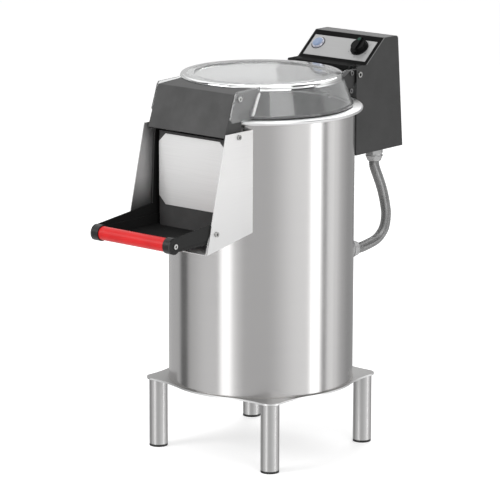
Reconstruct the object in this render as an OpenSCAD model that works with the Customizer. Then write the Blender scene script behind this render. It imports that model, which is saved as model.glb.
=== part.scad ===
// Electric potato peeler: a floor-standing drum with an abrasive disc, a clear hinged lid,
// a side chute closed by a lifting door, and a control box at the back.
// Millimetres, +Z up, chute towards -Y. Heights are above the floor.

/* [Stand] */
// Height of the base plate's underside
base_z = 151; // [135:1:190]
// Thickness of the base plate
base_t = 4; // [3:0.5:6]
// Width of base plate that shows around the drum
base_rim = 6; // [4:1:12]
// Distance of a leg's axis outside the drum's wall
leg_outset = 23.4; // [20:0.2:30]
// Outside diameter of a leg tube
leg_d = 40; // [34:1:48]
// Wall of a leg tube
leg_wall = 1.5; // [1:0.5:3]
// Width of base plate around a leg tube
lobe_margin = 5; // [3:1:8]
// Radius of the hollow curve beside each lobe
lobe_fillet_r = 220; // [120:10:300]
// Height of an end cap's rim under its leg tube
cap_rim_h = 5; // [3:1:8]
// Height that an end cap reaches up its leg tube
cap_plug_h = 24; // [15:1:40]
// Diameter of a levelling foot's pad
foot_pad_d = 24; // [18:1:26]
// Height of a levelling foot's pad
foot_pad_h = 6; // [4:1:8]
// Diameter of a levelling foot's screw
foot_screw_d = 10; // [8:1:12]
// Length of a levelling foot's screw
foot_screw_len = 55; // [45:1:70]

/* [Drum] */
// Outside radius of the drum
drum_r = 200; // [180:1:240]
// Wall of the drum
drum_wall = 1.5; // [1:0.25:2]
// Height of the drum from the base plate to the flange
drum_h = 594; // [580:1:720]
// Thickness of the flange ring on top of the drum
flange_t = 3; // [2:0.5:4]
// Radius of the flange's rolled edge
flange_bead_r = 4; // [3:0.5:6]
// Distance from the drum's wall to the flange's outer edge
flange_reach = 17.3; // [14:0.1:20]
// Width of the flange inside the drum's wall
flange_inner_w = 8.5; // [6:0.5:12]
// Thickness of the abrasive liner
liner_t = 4; // [3:0.5:6]
// Depth of the peeling chamber from the flange's top to its floor
chamber_depth = 240; // [235:1:250]
// Thickness of the chamber floor
floor_t = 3; // [2:0.5:5]
// Height of the upturned edge of the chamber floor
floor_rim_h = 18; // [14:1:22]

/* [Drive] */
// Radius of the main shaft
shaft_r = 12.5; // [10:0.5:15]
// Radial gap of a shaft in its bearing
shaft_gap = 0.03; // [0.01:0.01:0.08]
// Outer radius of a shaft bearing
bearing_r = 26; // [24:1:30]
// Width of a shaft bearing
bearing_w = 15; // [12:1:18]
// Outer radius of the bearing housing
housing_r = 36; // [34:1:42]
// Length of the bearing housing below its flange
housing_len = 110; // [90:1:120]
// Radius of the bearing housing's flange
housing_flange_r = 62; // [55:1:70]
// Radius of the peeling disc
disc_r = 187; // [165:1:188]
// Thickness of the peeling disc's metal plate
disc_t = 6; // [4:1:8]
// Thickness of the abrasive coat on the disc
coat_t = 6; // [4:1:8]
// Height of the disc's plate above the chamber floor
disc_lift = 20; // [14:1:24]
// Height of the waves on the disc
wave_h = 9; // [6:1:14]
// Radius of the driven pulley
big_pulley_r = 85; // [70:1:90]
// Radius of the motor's pulley
small_pulley_r = 27; // [22:1:30]
// Width of both pulleys
pulley_w = 20; // [16:1:22]
// Height of the belt
belt_w = 10; // [8:1:12]
// Thickness of the belt
belt_t = 8; // [6:1:10]
// Distance between the main shaft and the motor's shaft
motor_offset = 122; // [116:1:126]
// Radius of the motor over its fins
motor_r = 64; // [55:1:66]
// Length of the motor
motor_len = 165; // [140:1:180]
// Radius of the motor's shaft
motor_shaft_r = 9.5; // [7:0.5:12]
// Thickness of the motor plate
motor_plate_t = 4; // [3:1:6]
// Gap under the motor
motor_gap = 12; // [8:1:20]

/* [Chute] */
// Width of the discharge mouth
mouth_w = 164; // [150:1:170]
// Height of the discharge mouth
mouth_h = 152; // [140:1:156]
// Distance of the mouth's top edge below the flange's top
mouth_drop = 48; // [44:1:55]
// Wall of the mouth's collar
collar_t = 2; // [1.5:0.5:3]
// Distance the collar stands out from the drum's front
collar_reach = 13; // [10:1:20]
// Half the width over both cheeks
cheek_x = 114; // [112:0.5:125]
// Thickness of a cheek
cheek_t = 2; // [1.5:0.5:3]
// Distance the cheeks reach forward at the top
cheek_top_reach = 50; // [40:1:60]
// Distance the cheeks reach forward at the bottom
cheek_foot_reach = 110; // [90:1:130]
// Height of the door's hinge above the mouth
hinge_rise = 19; // [17:1:24]
// Height of the cheeks above the door's hinge
cheek_rise = 10; // [8:1:12]
// Drop of the cheeks' front corner below the door's hinge
cheek_foot_drop = 234; // [225:1:250]
// Drop of the cheeks' back corner below the door's hinge
cheek_heel_drop = 205; // [200:1:220]
// Thickness of the chute's bottom plate
chute_t = 1.5; // [1:0.5:2]
// Drop of the chute's bottom plate from the drum to its front edge
chute_fall = 18; // [14:1:22]
// Height of the side flanges of the chute's bottom plate
chute_flange_h = 30; // [26:1:36]
// Radius of the shank of a chute screw
chute_screw_r = 3; // [2.5:0.5:4]

/* [Door] */
// Thickness of the door's back wall
door_t = 8; // [5:1:10]
// Half the width of the door between its arms
door_half_w = 106; // [100:0.5:108]
// Half the width of the door's raised panel
panel_half_w = 93; // [90:0.5:98]
// Distance of the panel in front of the webs beside it
panel_step = 13; // [8:0.5:14]
// Thickness of a door arm
arm_t = 3.5; // [2.5:0.5:5]
// Drop of the door's floor below its hinge
door_drop = 213; // [205:0.5:215]
// Thickness of the door's floor
pan_t = 2.5; // [2:0.5:4]
// Distance of the handle in front of the hinge
handle_reach = 195; // [170:1:210]
// Drop of the handle below the hinge
handle_drop = 199; // [190:1:202]
// Radius of the handle's end caps
handle_cap_r = 17; // [14:0.5:20]
// Radius of the grip
grip_r = 14.5; // [12:0.5:16]
// Half the length of the grip
grip_half_len = 90; // [70:1:95]
// Width of the face plate
face_w = 186; // [160:1:200]
// Height of the face plate
face_h = 152; // [140:1:165]
// Size of the face plate's cut corners
face_corner = 18; // [10:1:24]
// Thickness of the face plate
face_t = 1.5; // [1:0.5:2]
// Thickness of the door's gasket
gasket_t = 2.7; // [2:0.1:4]
// Radius of a door hinge pin
door_pin_r = 4; // [3:0.5:5]

/* [Lid] */
// Wall of the lid
lid_wall = 4; // [3:0.5:5]
// Height of the lid's cone
lid_cone_h = 49; // [40:1:60]
// Outer radius of the lid's cone at its foot
lid_foot_r = 194.5; // [192:0.5:200]
// Outer radius of the lid's cone at its top
lid_top_r = 176.5; // [165:0.5:185]
// Radius of the bead around the lid's top
lid_bead_r = 6; // [5:0.5:8]
// Radius of the flat window in the lid's top
window_r = 142; // [120:1:150]
// Depth of the window below the bead's top
window_depth = 3; // [1:0.5:6]
// Width of the lid's foot outside its cone
lid_foot_w = 3.5; // [2:0.5:6]
// Thickness of the lid's seal
seal_t = 3; // [2:0.5:4]
// Thickness of the clear side plates of the nose
nose_t = 4; // [3:0.5:5]
// Thickness of the hood's sheet
hood_t = 1.5; // [1:0.5:2]
// Half the width of the hood
hood_half_w = 105.5; // [100:0.5:105.5]
// Distance of the hood's front edge in front of the drum, at its top
hood_top_reach = 14; // [10:1:20]
// Distance of the hood's front edge in front of the drum, at its foot
hood_foot_reach = 47.5; // [40:0.5:49]
// Height of the hood's top edge above the flange's top
hood_top_rise = 60; // [54:1:66]
// Half the distance between the lid's hinge arms
lid_arm_x = 87; // [82:0.5:88]
// Width of a hinge arm
lid_arm_w = 11; // [9:0.5:13]
// Radius of the knuckle on a hinge arm
knuckle_r = 11; // [9:0.5:12]
// Radius of the lid's hinge pin
lid_pin_r = 5; // [4:0.5:6]
// Distance of the lid's hinge pin behind the drum's wall
lid_pin_reach = 14.5; // [13:0.5:17]
// Height of the lid's hinge pin above the flange's top
lid_pin_rise = 47.5; // [45:0.5:50]

/* [Control box] */
// Half the width of the box
box_half_w = 97; // [96:1:110]
// Height of the box's bottom below the flange's top
box_drop = 130; // [110:1:150]
// Height of the ledge under the panel above the flange's top
ledge_rise = 65; // [64:1:70]
// Height of the box's top above the flange's top
box_rise = 118; // [110:1:135]
// Gap between the drum and the box
box_gap = 5; // [4:1:10]
// Depth of the ledge under the panel
ledge_depth = 35; // [34:1:40]
// Depth of the sloping panel
slope_depth = 63; // [56:1:75]
// Depth of the box's top
top_depth = 47; // [40:1:60]
// Distance the back leans out from top to bottom
back_lean = 21; // [10:1:30]
// Outer radius of the bend between the box's top and back
box_bend_r = 8; // [4:1:12]
// Wall of the box
box_wall = 1.5; // [1:0.5:2]
// Depth of the recess for the lid's hinge
recess_depth = 25; // [24:1:27]
// Width of the label plate
label_w = 173; // [150:1:180]
// Height of the label plate
label_h = 58.5; // [50:0.5:62]
// Distance of the button from the middle
button_x = 65; // [50:1:68]
// Distance of the knob from the middle
knob_x = 51; // [40:1:60]
// Distance of the button and the knob up the panel
control_s = 43.5; // [36:0.5:46]
// Outer radius of the button's bezel
bezel_r = 15; // [14:0.5:17]
// Radius of the button
button_r = 11.7; // [10:0.1:12]
// Radius of the knob's skirt
knob_r = 21; // [17:1:22]
// Height of the knob
knob_h = 18; // [14:1:20]
// Gap between a moving control and what it moves in
control_gap = 0.3; // [0.2:0.1:0.6]

/* [Pipes] */
// Outer radius of the conduit
conduit_r = 11.5; // [9:0.5:13]
// Angle around the drum of the conduit's lower end
conduit_angle = 62; // [60:1:64]
// Height of the conduit's lower end
conduit_z = 418; // [410:1:430]
// Outer radius of the drain pipe
drain_r = 25; // [20:1:30]
// Wall of the drain pipe
drain_wall = 3; // [2:0.5:4]
// Length of the drain pipe outside its collar
drain_len = 55; // [40:1:70]
// Outer radius of the water inlet
inlet_r = 13.2; // [10:0.1:17]
// Length of the water inlet outside its nut
inlet_len = 22; // [18:1:28]

/* [Hidden] */

$fn = 96;
seat = 0.3; // gap of a piece that lies loosely in its seat
fit = 0.02; // radial gap of a pressed or screwed fit
eps = 1; // overrun of a cut through a face

// Heights
base_top = base_z + base_t;
flange_under = base_top + drum_h;
flange_top = flange_under + flange_t;
floor_z = flange_top - chamber_depth;
floor_under = floor_z - floor_t;
disc_z = floor_z + disc_lift;
coat_z = disc_z + disc_t;
mouth_top = flange_top - mouth_drop;
mouth_sill = mouth_top - mouth_h;
door_hinge_z = mouth_top + hinge_rise;
box_z = flange_top - box_drop;
ledge_z = flange_top + ledge_rise;
box_top = flange_top + box_rise;
lid_pin_z = flange_top + lid_pin_rise;

// Radii and distances in plan
drum_in = drum_r - drum_wall;
base_r = drum_r + base_rim;
leg_circle = drum_r + leg_outset;
leg_xy = leg_circle / sqrt(2);
flange_r = drum_r + flange_reach;
flange_in = drum_r - drum_wall - flange_inner_w;
collar_y = -drum_r - collar_reach;
door_hinge_y = collar_y + 3;
gasket_y = collar_y - seat;
door_back_y = gasket_y - gasket_t;
door_front_y = door_back_y - door_t;
face_y = door_front_y - face_t;
arm_x = door_half_w + arm_t;
handle_y = door_hinge_y - handle_reach;
handle_z = door_hinge_z - handle_drop;
pan_z = door_hinge_z - door_drop;
cheek_in = cheek_x - cheek_t;
cheek_top = door_hinge_z + cheek_rise;
cheek_foot_z = door_hinge_z - cheek_foot_drop;
cheek_heel_z = door_hinge_z - cheek_heel_drop;
cheek_foot_y = -drum_r - cheek_foot_reach;
box_y = drum_r + box_gap;
slope_y = box_y + ledge_depth;
box_top_y = slope_y + slope_depth;
back_top_y = box_top_y + top_depth;
back_y = back_top_y + back_lean;
lid_pin_y = drum_r + lid_pin_reach;

// The middle of the part's length lies over the origin, so the drum's axis stands behind it
axis_y = (-(handle_y - handle_cap_r) - back_y) / 2;

module at_axis() translate([0, axis_y, 0]) children();

module both_sides() {
  children();
  mirror([1, 0, 0]) children();
}

// A ring or tube standing on z0
module tube(z0, z1, r_out, r_in) {
  translate([0, 0, z0])
    difference() {
      cylinder(r = r_out, h = z1 - z0);
      translate([0, 0, -eps]) cylinder(r = r_in, h = z1 - z0 + 2 * eps);
    }
}

// A round bar along X
module bar_x(x0, x1, y, z, r) {
  translate([x0, y, z]) rotate([0, 90, 0]) cylinder(r = r, h = x1 - x0);
}

// An outline drawn as (y, z) and extruded along X
module along_x(x0, x1) {
  translate([x0, 0, 0]) rotate([90, 0, 90]) linear_extrude(x1 - x0) children();
}

// Everything inside a radius, for cutting pieces to the drum
module drum_space(r, z0, z1) {
  translate([0, 0, z0]) cylinder(r = r, h = z1 - z0, $fn = 180);
}

// ---- Stand ----

module at_legs() {
  for (sx = [-1, 1], sy = [-1, 1]) translate([sx * leg_xy, sy * leg_xy, 0]) children();
}

// Outline of the base plate: a disc with a lobe over each leg and a hollow curve between
module base_outline() {
  offset(r = -lobe_fillet_r) offset(r = lobe_fillet_r) {
    circle(r = base_r);
    for (i = [0:3]) rotate(45 + 90 * i) translate([leg_circle, 0]) circle(r = leg_d / 2 + lobe_margin);
  }
}

module base_plate() {
  vent = [60, 8];
  color("silver") at_axis() translate([0, 0, base_z])
    difference() {
      linear_extrude(base_t) base_outline($fn = 180);
      for (i = [0:7])
        rotate(22.5 + 45 * i) translate([60, -vent.y / 2, -eps]) cube([vent.x, vent.y, base_t + 2 * eps]);
    }
}

module leg_tubes() {
  color("gainsboro") at_axis() at_legs() tube(cap_rim_h, base_z, leg_d / 2, leg_d / 2 - leg_wall);
}

module leg_end_caps() {
  pocket_h = foot_pad_h + 2 * seat;
  color("#202020") at_axis() at_legs()
    difference() {
      union() {
        cylinder(r = leg_d / 2, h = cap_rim_h);
        cylinder(r = leg_d / 2 - leg_wall - seat / 2, h = cap_rim_h + cap_plug_h);
      }
      translate([0, 0, -eps]) cylinder(r = foot_pad_d / 2 + seat, h = pocket_h + eps);
      cylinder(r = foot_screw_d / 2 + 2 * shaft_gap, h = base_z);
    }
}

module levelling_foot(sx, sy) {
  color("darkgray") at_axis() translate([sx * leg_xy, sy * leg_xy, seat]) {
    cylinder(r = foot_pad_d / 2, h = foot_pad_h);
    cylinder(r = foot_screw_d / 2, h = foot_pad_h + foot_screw_len);
  }
}

module levelling_foot_front_right() levelling_foot(1, -1);
module levelling_foot_front_left() levelling_foot(-1, -1);
module levelling_foot_rear_right() levelling_foot(1, 1);
module levelling_foot_rear_left() levelling_foot(-1, 1);

// ---- Drum ----

// A block through the drum's front wall, as wide and high as the mouth plus a margin
module mouth_block(margin) {
  translate([-mouth_w / 2 - margin, -drum_r - 2 * collar_reach, mouth_sill - margin])
    cube([mouth_w + 2 * margin, drum_r, mouth_h + 2 * margin]);
}

drain_x = -95;
drain_z = floor_under - drain_r - 8;
drain_y = 120;
inlet_turn = 150;
inlet_z = flange_top - 52;
gland_thread_r = 10.5;

module drain_line(r, y0, y1) {
  translate([drain_x, y0, drain_z]) rotate([-90, 0, 0]) cylinder(r = r, h = y1 - y0);
}

module inlet_line(r, d0, d1) {
  rotate(inlet_turn) translate([d0, 0, inlet_z]) rotate([0, 90, 0]) cylinder(r = r, h = d1 - d0);
}

module lower_gland_line(r, d0, d1) {
  rotate(conduit_angle) translate([d0, 0, conduit_z]) rotate([0, 90, 0]) cylinder(r = r, h = d1 - d0);
}

module drum_shell() {
  color("silver") at_axis()
    difference() {
      tube(base_top, flange_under, drum_r, drum_in, $fn = 180);
      mouth_block(0);
      drain_line(drain_r + seat, drain_y, drum_r + eps);
      inlet_line(inlet_r + seat, drum_r / 2, drum_r + eps);
      lower_gland_line(gland_thread_r + seat, drum_r / 2, drum_r + eps);
    }
}

module top_flange() {
  bead_x = flange_r - flange_bead_r;
  bead_z = flange_top - flange_bead_r;
  color("gainsboro") at_axis()
    rotate_extrude($fn = 180) {
      translate([flange_in, flange_under]) square([bead_x - flange_in, flange_t]);
      translate([bead_x, bead_z]) circle(r = flange_bead_r);
    }
}

module abrasive_liner() {
  liner_out = drum_in - seat;
  color("dimgray") at_axis()
    difference() {
      tube(floor_z + floor_rim_h, flange_under - seat, liner_out, liner_out - liner_t, $fn = 180);
      mouth_block(1);
      inlet_line(inlet_r + seat, drum_r / 2, drum_r + eps);
    }
}

module chamber_floor() {
  rim_out = drum_in - seat / 2;
  neck_hole = shaft_r + 17.5;
  color("lightgray") at_axis()
    difference() {
      union() {
        translate([0, 0, floor_under]) cylinder(r = rim_out, h = floor_t);
        tube(floor_under, floor_z + floor_rim_h, rim_out, rim_out - floor_t);
      }
      translate([0, 0, floor_under - eps]) cylinder(r = neck_hole + seat / 2, h = floor_t + 2 * eps);
      translate([drain_x, drain_y, floor_under - eps]) cylinder(r = drain_r - drain_wall, h = 2 * floor_t);
    }
}

// ---- Drive ----

housing_top = floor_under;
housing_flange_h = 8;
neck_r = shaft_r + 17.5;
neck_top = floor_z + 10;
housing_z = housing_top - housing_flange_h - housing_len;
seal_r = shaft_r + 7.5;
seal_h = 8;

module bearing_housing() {
  color("slategray") at_axis()
    difference() {
      union() {
        translate([0, 0, housing_top - housing_flange_h]) cylinder(r = housing_flange_r, h = housing_flange_h);
        translate([0, 0, housing_z]) cylinder(r = housing_r, h = housing_len + housing_flange_h);
        translate([0, 0, housing_top - eps]) cylinder(r = neck_r, h = neck_top - housing_top + eps);
      }
      translate([0, 0, housing_z - eps]) cylinder(r = shaft_r + 4, h = 2 * housing_len);
      translate([0, 0, housing_z - eps]) cylinder(r = bearing_r, h = bearing_w + eps);
      translate([0, 0, housing_top - housing_flange_h - bearing_w])
        cylinder(r = bearing_r, h = bearing_w);
      translate([0, 0, neck_top - seal_h]) cylinder(r = seal_r, h = seal_h + eps);
    }
}

module shaft_bearings() {
  color("lightsteelblue") at_axis()
    for (z = [housing_z, housing_top - housing_flange_h - bearing_w])
      tube(z, z + bearing_w, bearing_r - fit, shaft_r + shaft_gap);
}

module shaft_seal() {
  color("#303030") at_axis() tube(neck_top - seal_h, neck_top, seal_r - fit, shaft_r + 2 * shaft_gap);
}

pulley_z = base_top + motor_gap + motor_len + motor_plate_t + 16;
shaft_foot = pulley_z - 5;
hub_r = 32;
hub_h = 14;
nut_h = 8;

// Main shaft, with the nut that clamps the disc
module main_shaft() {
  color("lightgray") at_axis() {
    translate([0, 0, shaft_foot]) cylinder(r = shaft_r, h = coat_z + hub_h - shaft_foot);
    translate([0, 0, coat_z + hub_h]) cylinder(r = shaft_r + 6, h = nut_h, $fn = 6);
  }
}

module disc_plate() {
  vane = [70, 5, disc_lift - 4];
  color("silver") at_axis()
    difference() {
      union() {
        translate([0, 0, disc_z]) cylinder(r = disc_r, h = disc_t, $fn = 180);
        translate([0, 0, disc_z]) cylinder(r = hub_r, h = disc_t + hub_h);
        for (i = [0:1])
          rotate(180 * i)
            translate([disc_r - vane.x - 12, -vane.y / 2, disc_z - vane.z])
              cube([vane.x, vane.y, vane.z + eps]);
      }
      translate([0, 0, disc_z - eps]) cylinder(r = shaft_r + fit, h = disc_t + hub_h + 2 * eps);
    }
}

// Abrasive coat with three low waves that toss the potatoes
module disc_abrasive() {
  wave_r = 40;
  color("#55504a") at_axis() translate([0, 0, coat_z])
    difference() {
      union() {
        cylinder(r = disc_r, h = coat_t, $fn = 180);
        intersection() {
          for (i = [0:2])
            rotate(90 + 120 * i)
              translate([hub_r + 8, 0, coat_t + wave_h - wave_r])
                rotate([0, 90, 0]) cylinder(r = wave_r, h = disc_r);
          cylinder(r = disc_r - 6, h = coat_t + wave_h);
        }
      }
      translate([0, 0, -eps]) cylinder(r = hub_r + fit, h = coat_t + wave_h + 2 * eps);
    }
}

groove_d = belt_t + 2;

// A grooved pulley on a shaft
module pulley(r, bore_r) {
  difference() {
    translate([0, 0, pulley_z]) cylinder(r = r, h = pulley_w);
    translate([0, 0, pulley_z - eps]) cylinder(r = bore_r + fit, h = pulley_w + 2 * eps);
    rotate_extrude()
      polygon([
        [r - groove_d, pulley_z + pulley_w / 2 - belt_w / 2 - 0.5],
        [r + 1, pulley_z + pulley_w / 2 - belt_w / 2 - 2.5],
        [r + 1, pulley_z + pulley_w / 2 + belt_w / 2 + 2.5],
        [r - groove_d, pulley_z + pulley_w / 2 + belt_w / 2 + 0.5]]);
  }
}

module at_motor() at_axis() translate([-motor_offset, 0, 0]) children();

module driven_pulley() color("dimgray") at_axis() pulley(big_pulley_r, shaft_r);
module motor_pulley() color("dimgray") at_motor() pulley(small_pulley_r, motor_shaft_r);

// Outline of the belt's path, grown by d from its inside
module belt_path(d) {
  hull() {
    circle(r = big_pulley_r - groove_d + seat + d);
    translate([-motor_offset, 0]) circle(r = small_pulley_r - groove_d + seat + d);
  }
}

module drive_belt() {
  color("#181818") at_axis() translate([0, 0, pulley_z + pulley_w / 2 - belt_w / 2])
    linear_extrude(belt_w)
      difference() {
        belt_path(belt_t);
        belt_path(0);
      }
}

motor_z = base_top + motor_gap;
motor_top = motor_z + motor_len;
motor_shaft_depth = 40;

module motor_shaft() {
  color("lightgray") at_motor()
    translate([0, 0, motor_top - motor_shaft_depth])
      cylinder(r = motor_shaft_r, h = pulley_z + pulley_w + 3 - motor_top + motor_shaft_depth);
}

// Flange-mounted motor, with cooling fins, a fan cover at its foot and a terminal box
module motor() {
  fins = 24;
  core_r = motor_r - 8;
  cover_h = 32;
  flange_h = 10;
  terminals = [30, 56, 60];
  color("steelblue") at_motor()
    difference() {
      union() {
        translate([0, 0, motor_z]) cylinder(r = core_r, h = motor_len);
        translate([0, 0, motor_z]) cylinder(r = motor_r, h = cover_h);
        translate([0, 0, motor_top - flange_h]) cylinder(r = motor_r + 4, h = flange_h);
        for (i = [0:fins - 1])
          rotate(360 / fins * i)
            translate([core_r - 3, -1.25, motor_z + cover_h])
              cube([motor_r - core_r + 3, 2.5, motor_len - cover_h - flange_h]);
        translate([core_r - 4, -terminals.y / 2, motor_z + 70]) cube(terminals);
      }
      translate([0, 0, motor_top - motor_shaft_depth - seat])
        cylinder(r = motor_shaft_r + 2 * shaft_gap, h = motor_shaft_depth + 2 * eps);
    }
}

bracket_w = 50;

// Motor plate, with three welded angles that stand on the drum's wall
module motor_plate() {
  angle = [12, bracket_w, 40];
  plate_r = drum_in - 6;
  color("darkgray") at_axis()
    difference() {
      union() {
        translate([0, 0, motor_top]) cylinder(r = plate_r, h = motor_plate_t);
        intersection() {
          for (i = [0:2])
            rotate(120 * i + 20)
              translate([drum_in - angle.x, -angle.y / 2, motor_top]) cube([angle.x, angle.y, angle.z]);
          drum_space(drum_in, motor_top, motor_top + angle.z);
        }
      }
      translate([-motor_offset, 0, motor_top - eps]) cylinder(r = 24, h = motor_plate_t + 2 * eps);
    }
}

module motor_capacitor() {
  color("gainsboro") at_axis()
    translate([110, 90, motor_top + motor_plate_t]) {
      cylinder(r = 20, h = 80);
      cylinder(r = 8, h = 88);
    }
}

// ---- Chute ----

module mouth_collar() {
  color("lightgray") at_axis()
    difference() {
      translate([-mouth_w / 2 - collar_t, collar_y, mouth_sill - collar_t])
        cube([mouth_w + 2 * collar_t, 60, mouth_h + 2 * collar_t]);
      mouth_block(0);
      drum_space(drum_r, mouth_sill - 10, mouth_top + 10);
    }
}

cheek_screw = [-drum_r - 81, door_hinge_z - 193.5];

module cheek_outline() {
  polygon([
    [-drum_r / 2, cheek_top], [-drum_r - cheek_top_reach, cheek_top],
    [cheek_foot_y, cheek_foot_z], [-drum_r / 2, cheek_heel_z + (cheek_heel_z - cheek_foot_z) * 0.25]]);
}

module cheek() {
  difference() {
    along_x(cheek_in, cheek_x) cheek_outline();
    drum_space(drum_r, cheek_foot_z, cheek_top + eps);
    bar_x(cheek_in - eps, cheek_x + eps, door_hinge_y, door_hinge_z, door_pin_r + fit);
    bar_x(cheek_in - eps, cheek_x + eps, cheek_screw.x, cheek_screw.y, chute_screw_r + fit);
  }
}

module right_cheek() color("whitesmoke") at_axis() cheek();
module left_cheek() color("whitesmoke") at_axis() mirror([1, 0, 0]) cheek();

chute_back_z = cheek_foot_z + chute_fall;

// Bottom plate of the chute, with a flange up the inside of each cheek
module chute_floor() {
  run = [cheek_foot_y - 2, -drum_r / 2];
  rise = chute_back_z - cheek_foot_z;
  flange_x = cheek_in - seat;
  color("gainsboro") at_axis()
    difference() {
      union() {
        along_x(-flange_x, flange_x)
          polygon([
            [run.x, cheek_foot_z], [run.y, chute_back_z + rise],
            [run.y, chute_back_z + rise + chute_t], [run.x, cheek_foot_z + chute_t]]);
        both_sides()
          along_x(flange_x - chute_t, flange_x)
            polygon([
              [run.x, cheek_foot_z], [run.y, chute_back_z + rise],
              [run.y, chute_back_z + rise + chute_flange_h],
              [cheek_screw.x + 9, cheek_screw.y + 16], [cheek_screw.x - 9, cheek_screw.y + 14],
              [run.x + 9, cheek_foot_z + chute_flange_h]]);
      }
      drum_space(drum_r, cheek_foot_z - 10, mouth_top);
      both_sides()
        bar_x(flange_x - 3, flange_x + eps, cheek_screw.x, cheek_screw.y, chute_screw_r + fit);
    }
}

screw_head = [5.5, 3.5];

// A round-headed screw along X: its head outside the plane x_head, its shank running in
module side_screw(x_head, y, z, r, len, head = screw_head) {
  difference() {
    union() {
      bar_x(x_head - len, x_head + eps, y, z, r);
      bar_x(x_head, x_head + head.y, y, z, head.x);
    }
    translate([x_head + head.y - 2, y, z]) rotate([0, 90, 0]) cylinder(r = 2.9, h = 3, $fn = 6);
  }
}

module cheek_screws() {
  color("gray") at_axis() both_sides()
    side_screw(cheek_x, cheek_screw.x, cheek_screw.y, chute_screw_r, cheek_t + seat + chute_t);
}

module door_hinge_pins() {
  color("gray") at_axis() both_sides()
    side_screw(cheek_x, door_hinge_y, door_hinge_z, door_pin_r, cheek_x - door_half_w - 0.2);
}

// ---- Door ----

lug_r = 10;
arm_top = handle_cap_r - 1;

// Side arm: a strip down from the hinge and a band out to the handle
module arm_outline() {
  elbow_y = door_front_y - 8;
  translate([door_hinge_y, door_hinge_z]) circle(r = lug_r);
  polygon([
    [door_hinge_y + lug_r, door_hinge_z], [door_hinge_y - lug_r, door_hinge_z],
    [door_front_y, door_hinge_z - 2 * lug_r], [elbow_y, handle_z + 34],
    [handle_y, handle_z + arm_top], [handle_y, handle_z - arm_top],
    [handle_y + 17, handle_z - 7.5], [elbow_y, handle_z - 2],
    [door_front_y, pan_z], [door_hinge_y, pan_z], [door_hinge_y + lug_r, pan_z + 60]]);
  translate([handle_y, handle_z]) circle(r = handle_cap_r);
}

// Moulded door: raised panel, floor and side arms, hung at its top corners
module door_body() {
  floor_front_y = handle_y + handle_cap_r + seat;
  pan_side = 3;
  web_t = 3;
  web_y = door_front_y + panel_step;
  return_x = panel_half_w - 4;
  wall_top = door_hinge_z - 7;
  color("#242628") at_axis()
    difference() {
      union() {
        translate([-panel_half_w, door_front_y, pan_z])
          cube([2 * panel_half_w, door_t, wall_top - pan_z]);
        translate([-door_half_w, floor_front_y, pan_z])
          cube([2 * door_half_w, door_front_y - floor_front_y + eps, pan_t]);
        both_sides() {
          translate([return_x, door_front_y, pan_z])
            cube([panel_half_w - return_x, panel_step + web_t, wall_top - pan_z]);
          translate([return_x, web_y, pan_z])
            cube([arm_x - return_x - eps, web_t, wall_top - 16 - pan_z]);
          translate([return_x, door_front_y, pan_z])
            cube([arm_x - return_x - eps, panel_step + web_t, pan_t]);
          along_x(door_half_w, arm_x) arm_outline();
          translate([door_half_w - pan_side, floor_front_y, pan_z])
            cube([pan_side + eps, web_y - floor_front_y + web_t, 24]);
          bar_x(grip_half_len, arm_x - eps, handle_y, handle_z, handle_cap_r - 3);
        }
      }
      both_sides() {
        bar_x(door_half_w - eps, arm_x + eps, door_hinge_y, door_hinge_z, door_pin_r + 2 * shaft_gap);
        bar_x(grip_half_len - eps, arm_x + eps, handle_y, handle_z, grip_screw_r + fit);
      }
    }
}

module door_face_plate() {
  top = door_hinge_z - 12;
  half = face_w / 2;
  low = top - face_h;
  cut = face_corner;
  color("gainsboro") at_axis()
    translate([0, door_front_y, 0]) rotate([90, 0, 0]) linear_extrude(face_t)
      polygon([
        [-half, low + cut], [-half + cut, low], [half - cut, low], [half, low + cut],
        [half, top - cut], [half - cut, top], [-half + cut, top], [-half, top - cut]]);
}

module door_gasket() {
  grip_w = 6;
  color("#151515") at_axis()
    difference() {
      translate([-mouth_w / 2 - grip_w, door_back_y, mouth_sill - grip_w])
        cube([mouth_w + 2 * grip_w, gasket_t, mouth_h + 2 * grip_w]);
      translate([-mouth_w / 2 + 2, door_back_y - eps, mouth_sill + 2])
        cube([mouth_w - 4, gasket_t + 2 * eps, mouth_h - 4]);
    }
}

grip_screw_r = 4;
grip_screw_depth = 14;

module handle_grip() {
  color("red") at_axis()
    difference() {
      bar_x(-grip_half_len, grip_half_len, handle_y, handle_z, grip_r);
      both_sides()
        bar_x(grip_half_len - grip_screw_depth, grip_half_len + eps, handle_y, handle_z, grip_screw_r + fit);
    }
}

// Black collars between the grip and the arms
module handle_end_caps() {
  color("#2c3436") at_axis() both_sides()
    difference() {
      bar_x(grip_half_len, door_half_w, handle_y, handle_z, handle_cap_r);
      bar_x(grip_half_len - eps, door_half_w + eps, handle_y, handle_z, handle_cap_r - 3 + fit);
    }
}

module handle_screws() {
  color("lightgray") at_axis() both_sides()
    side_screw(arm_x, handle_y, handle_z, grip_screw_r, arm_x - grip_half_len + grip_screw_depth - eps);
}

// ---- Lid ----

lid_z = flange_top + seat + seal_t;
foot_h = 4;
cone_z = lid_z + foot_h;
cone_top = cone_z + lid_cone_h;
bead = [lid_top_r - lid_bead_r - 1.8, cone_top + lid_bead_r + 1.5];
bead_top = bead.y + lid_bead_r;
window_z = bead_top - window_depth;

// Half section of everything the lid's outer surface encloses, grown by d
module lid_section(d) {
  polygon([
    [0, lid_z - 3 * seat], [lid_foot_r + lid_foot_w + d, lid_z - 3 * seat],
    [lid_foot_r + lid_foot_w + d, cone_z + d], [lid_foot_r + d, cone_z + d],
    [lid_top_r + d, cone_top], [bead.x + lid_bead_r + d, bead.y],
    [bead.x + lid_bead_r + d, bead_top + d], [0, bead_top + d]]);
}

module lid_envelope(d) rotate_extrude($fn = 180) lid_section(d);

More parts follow.
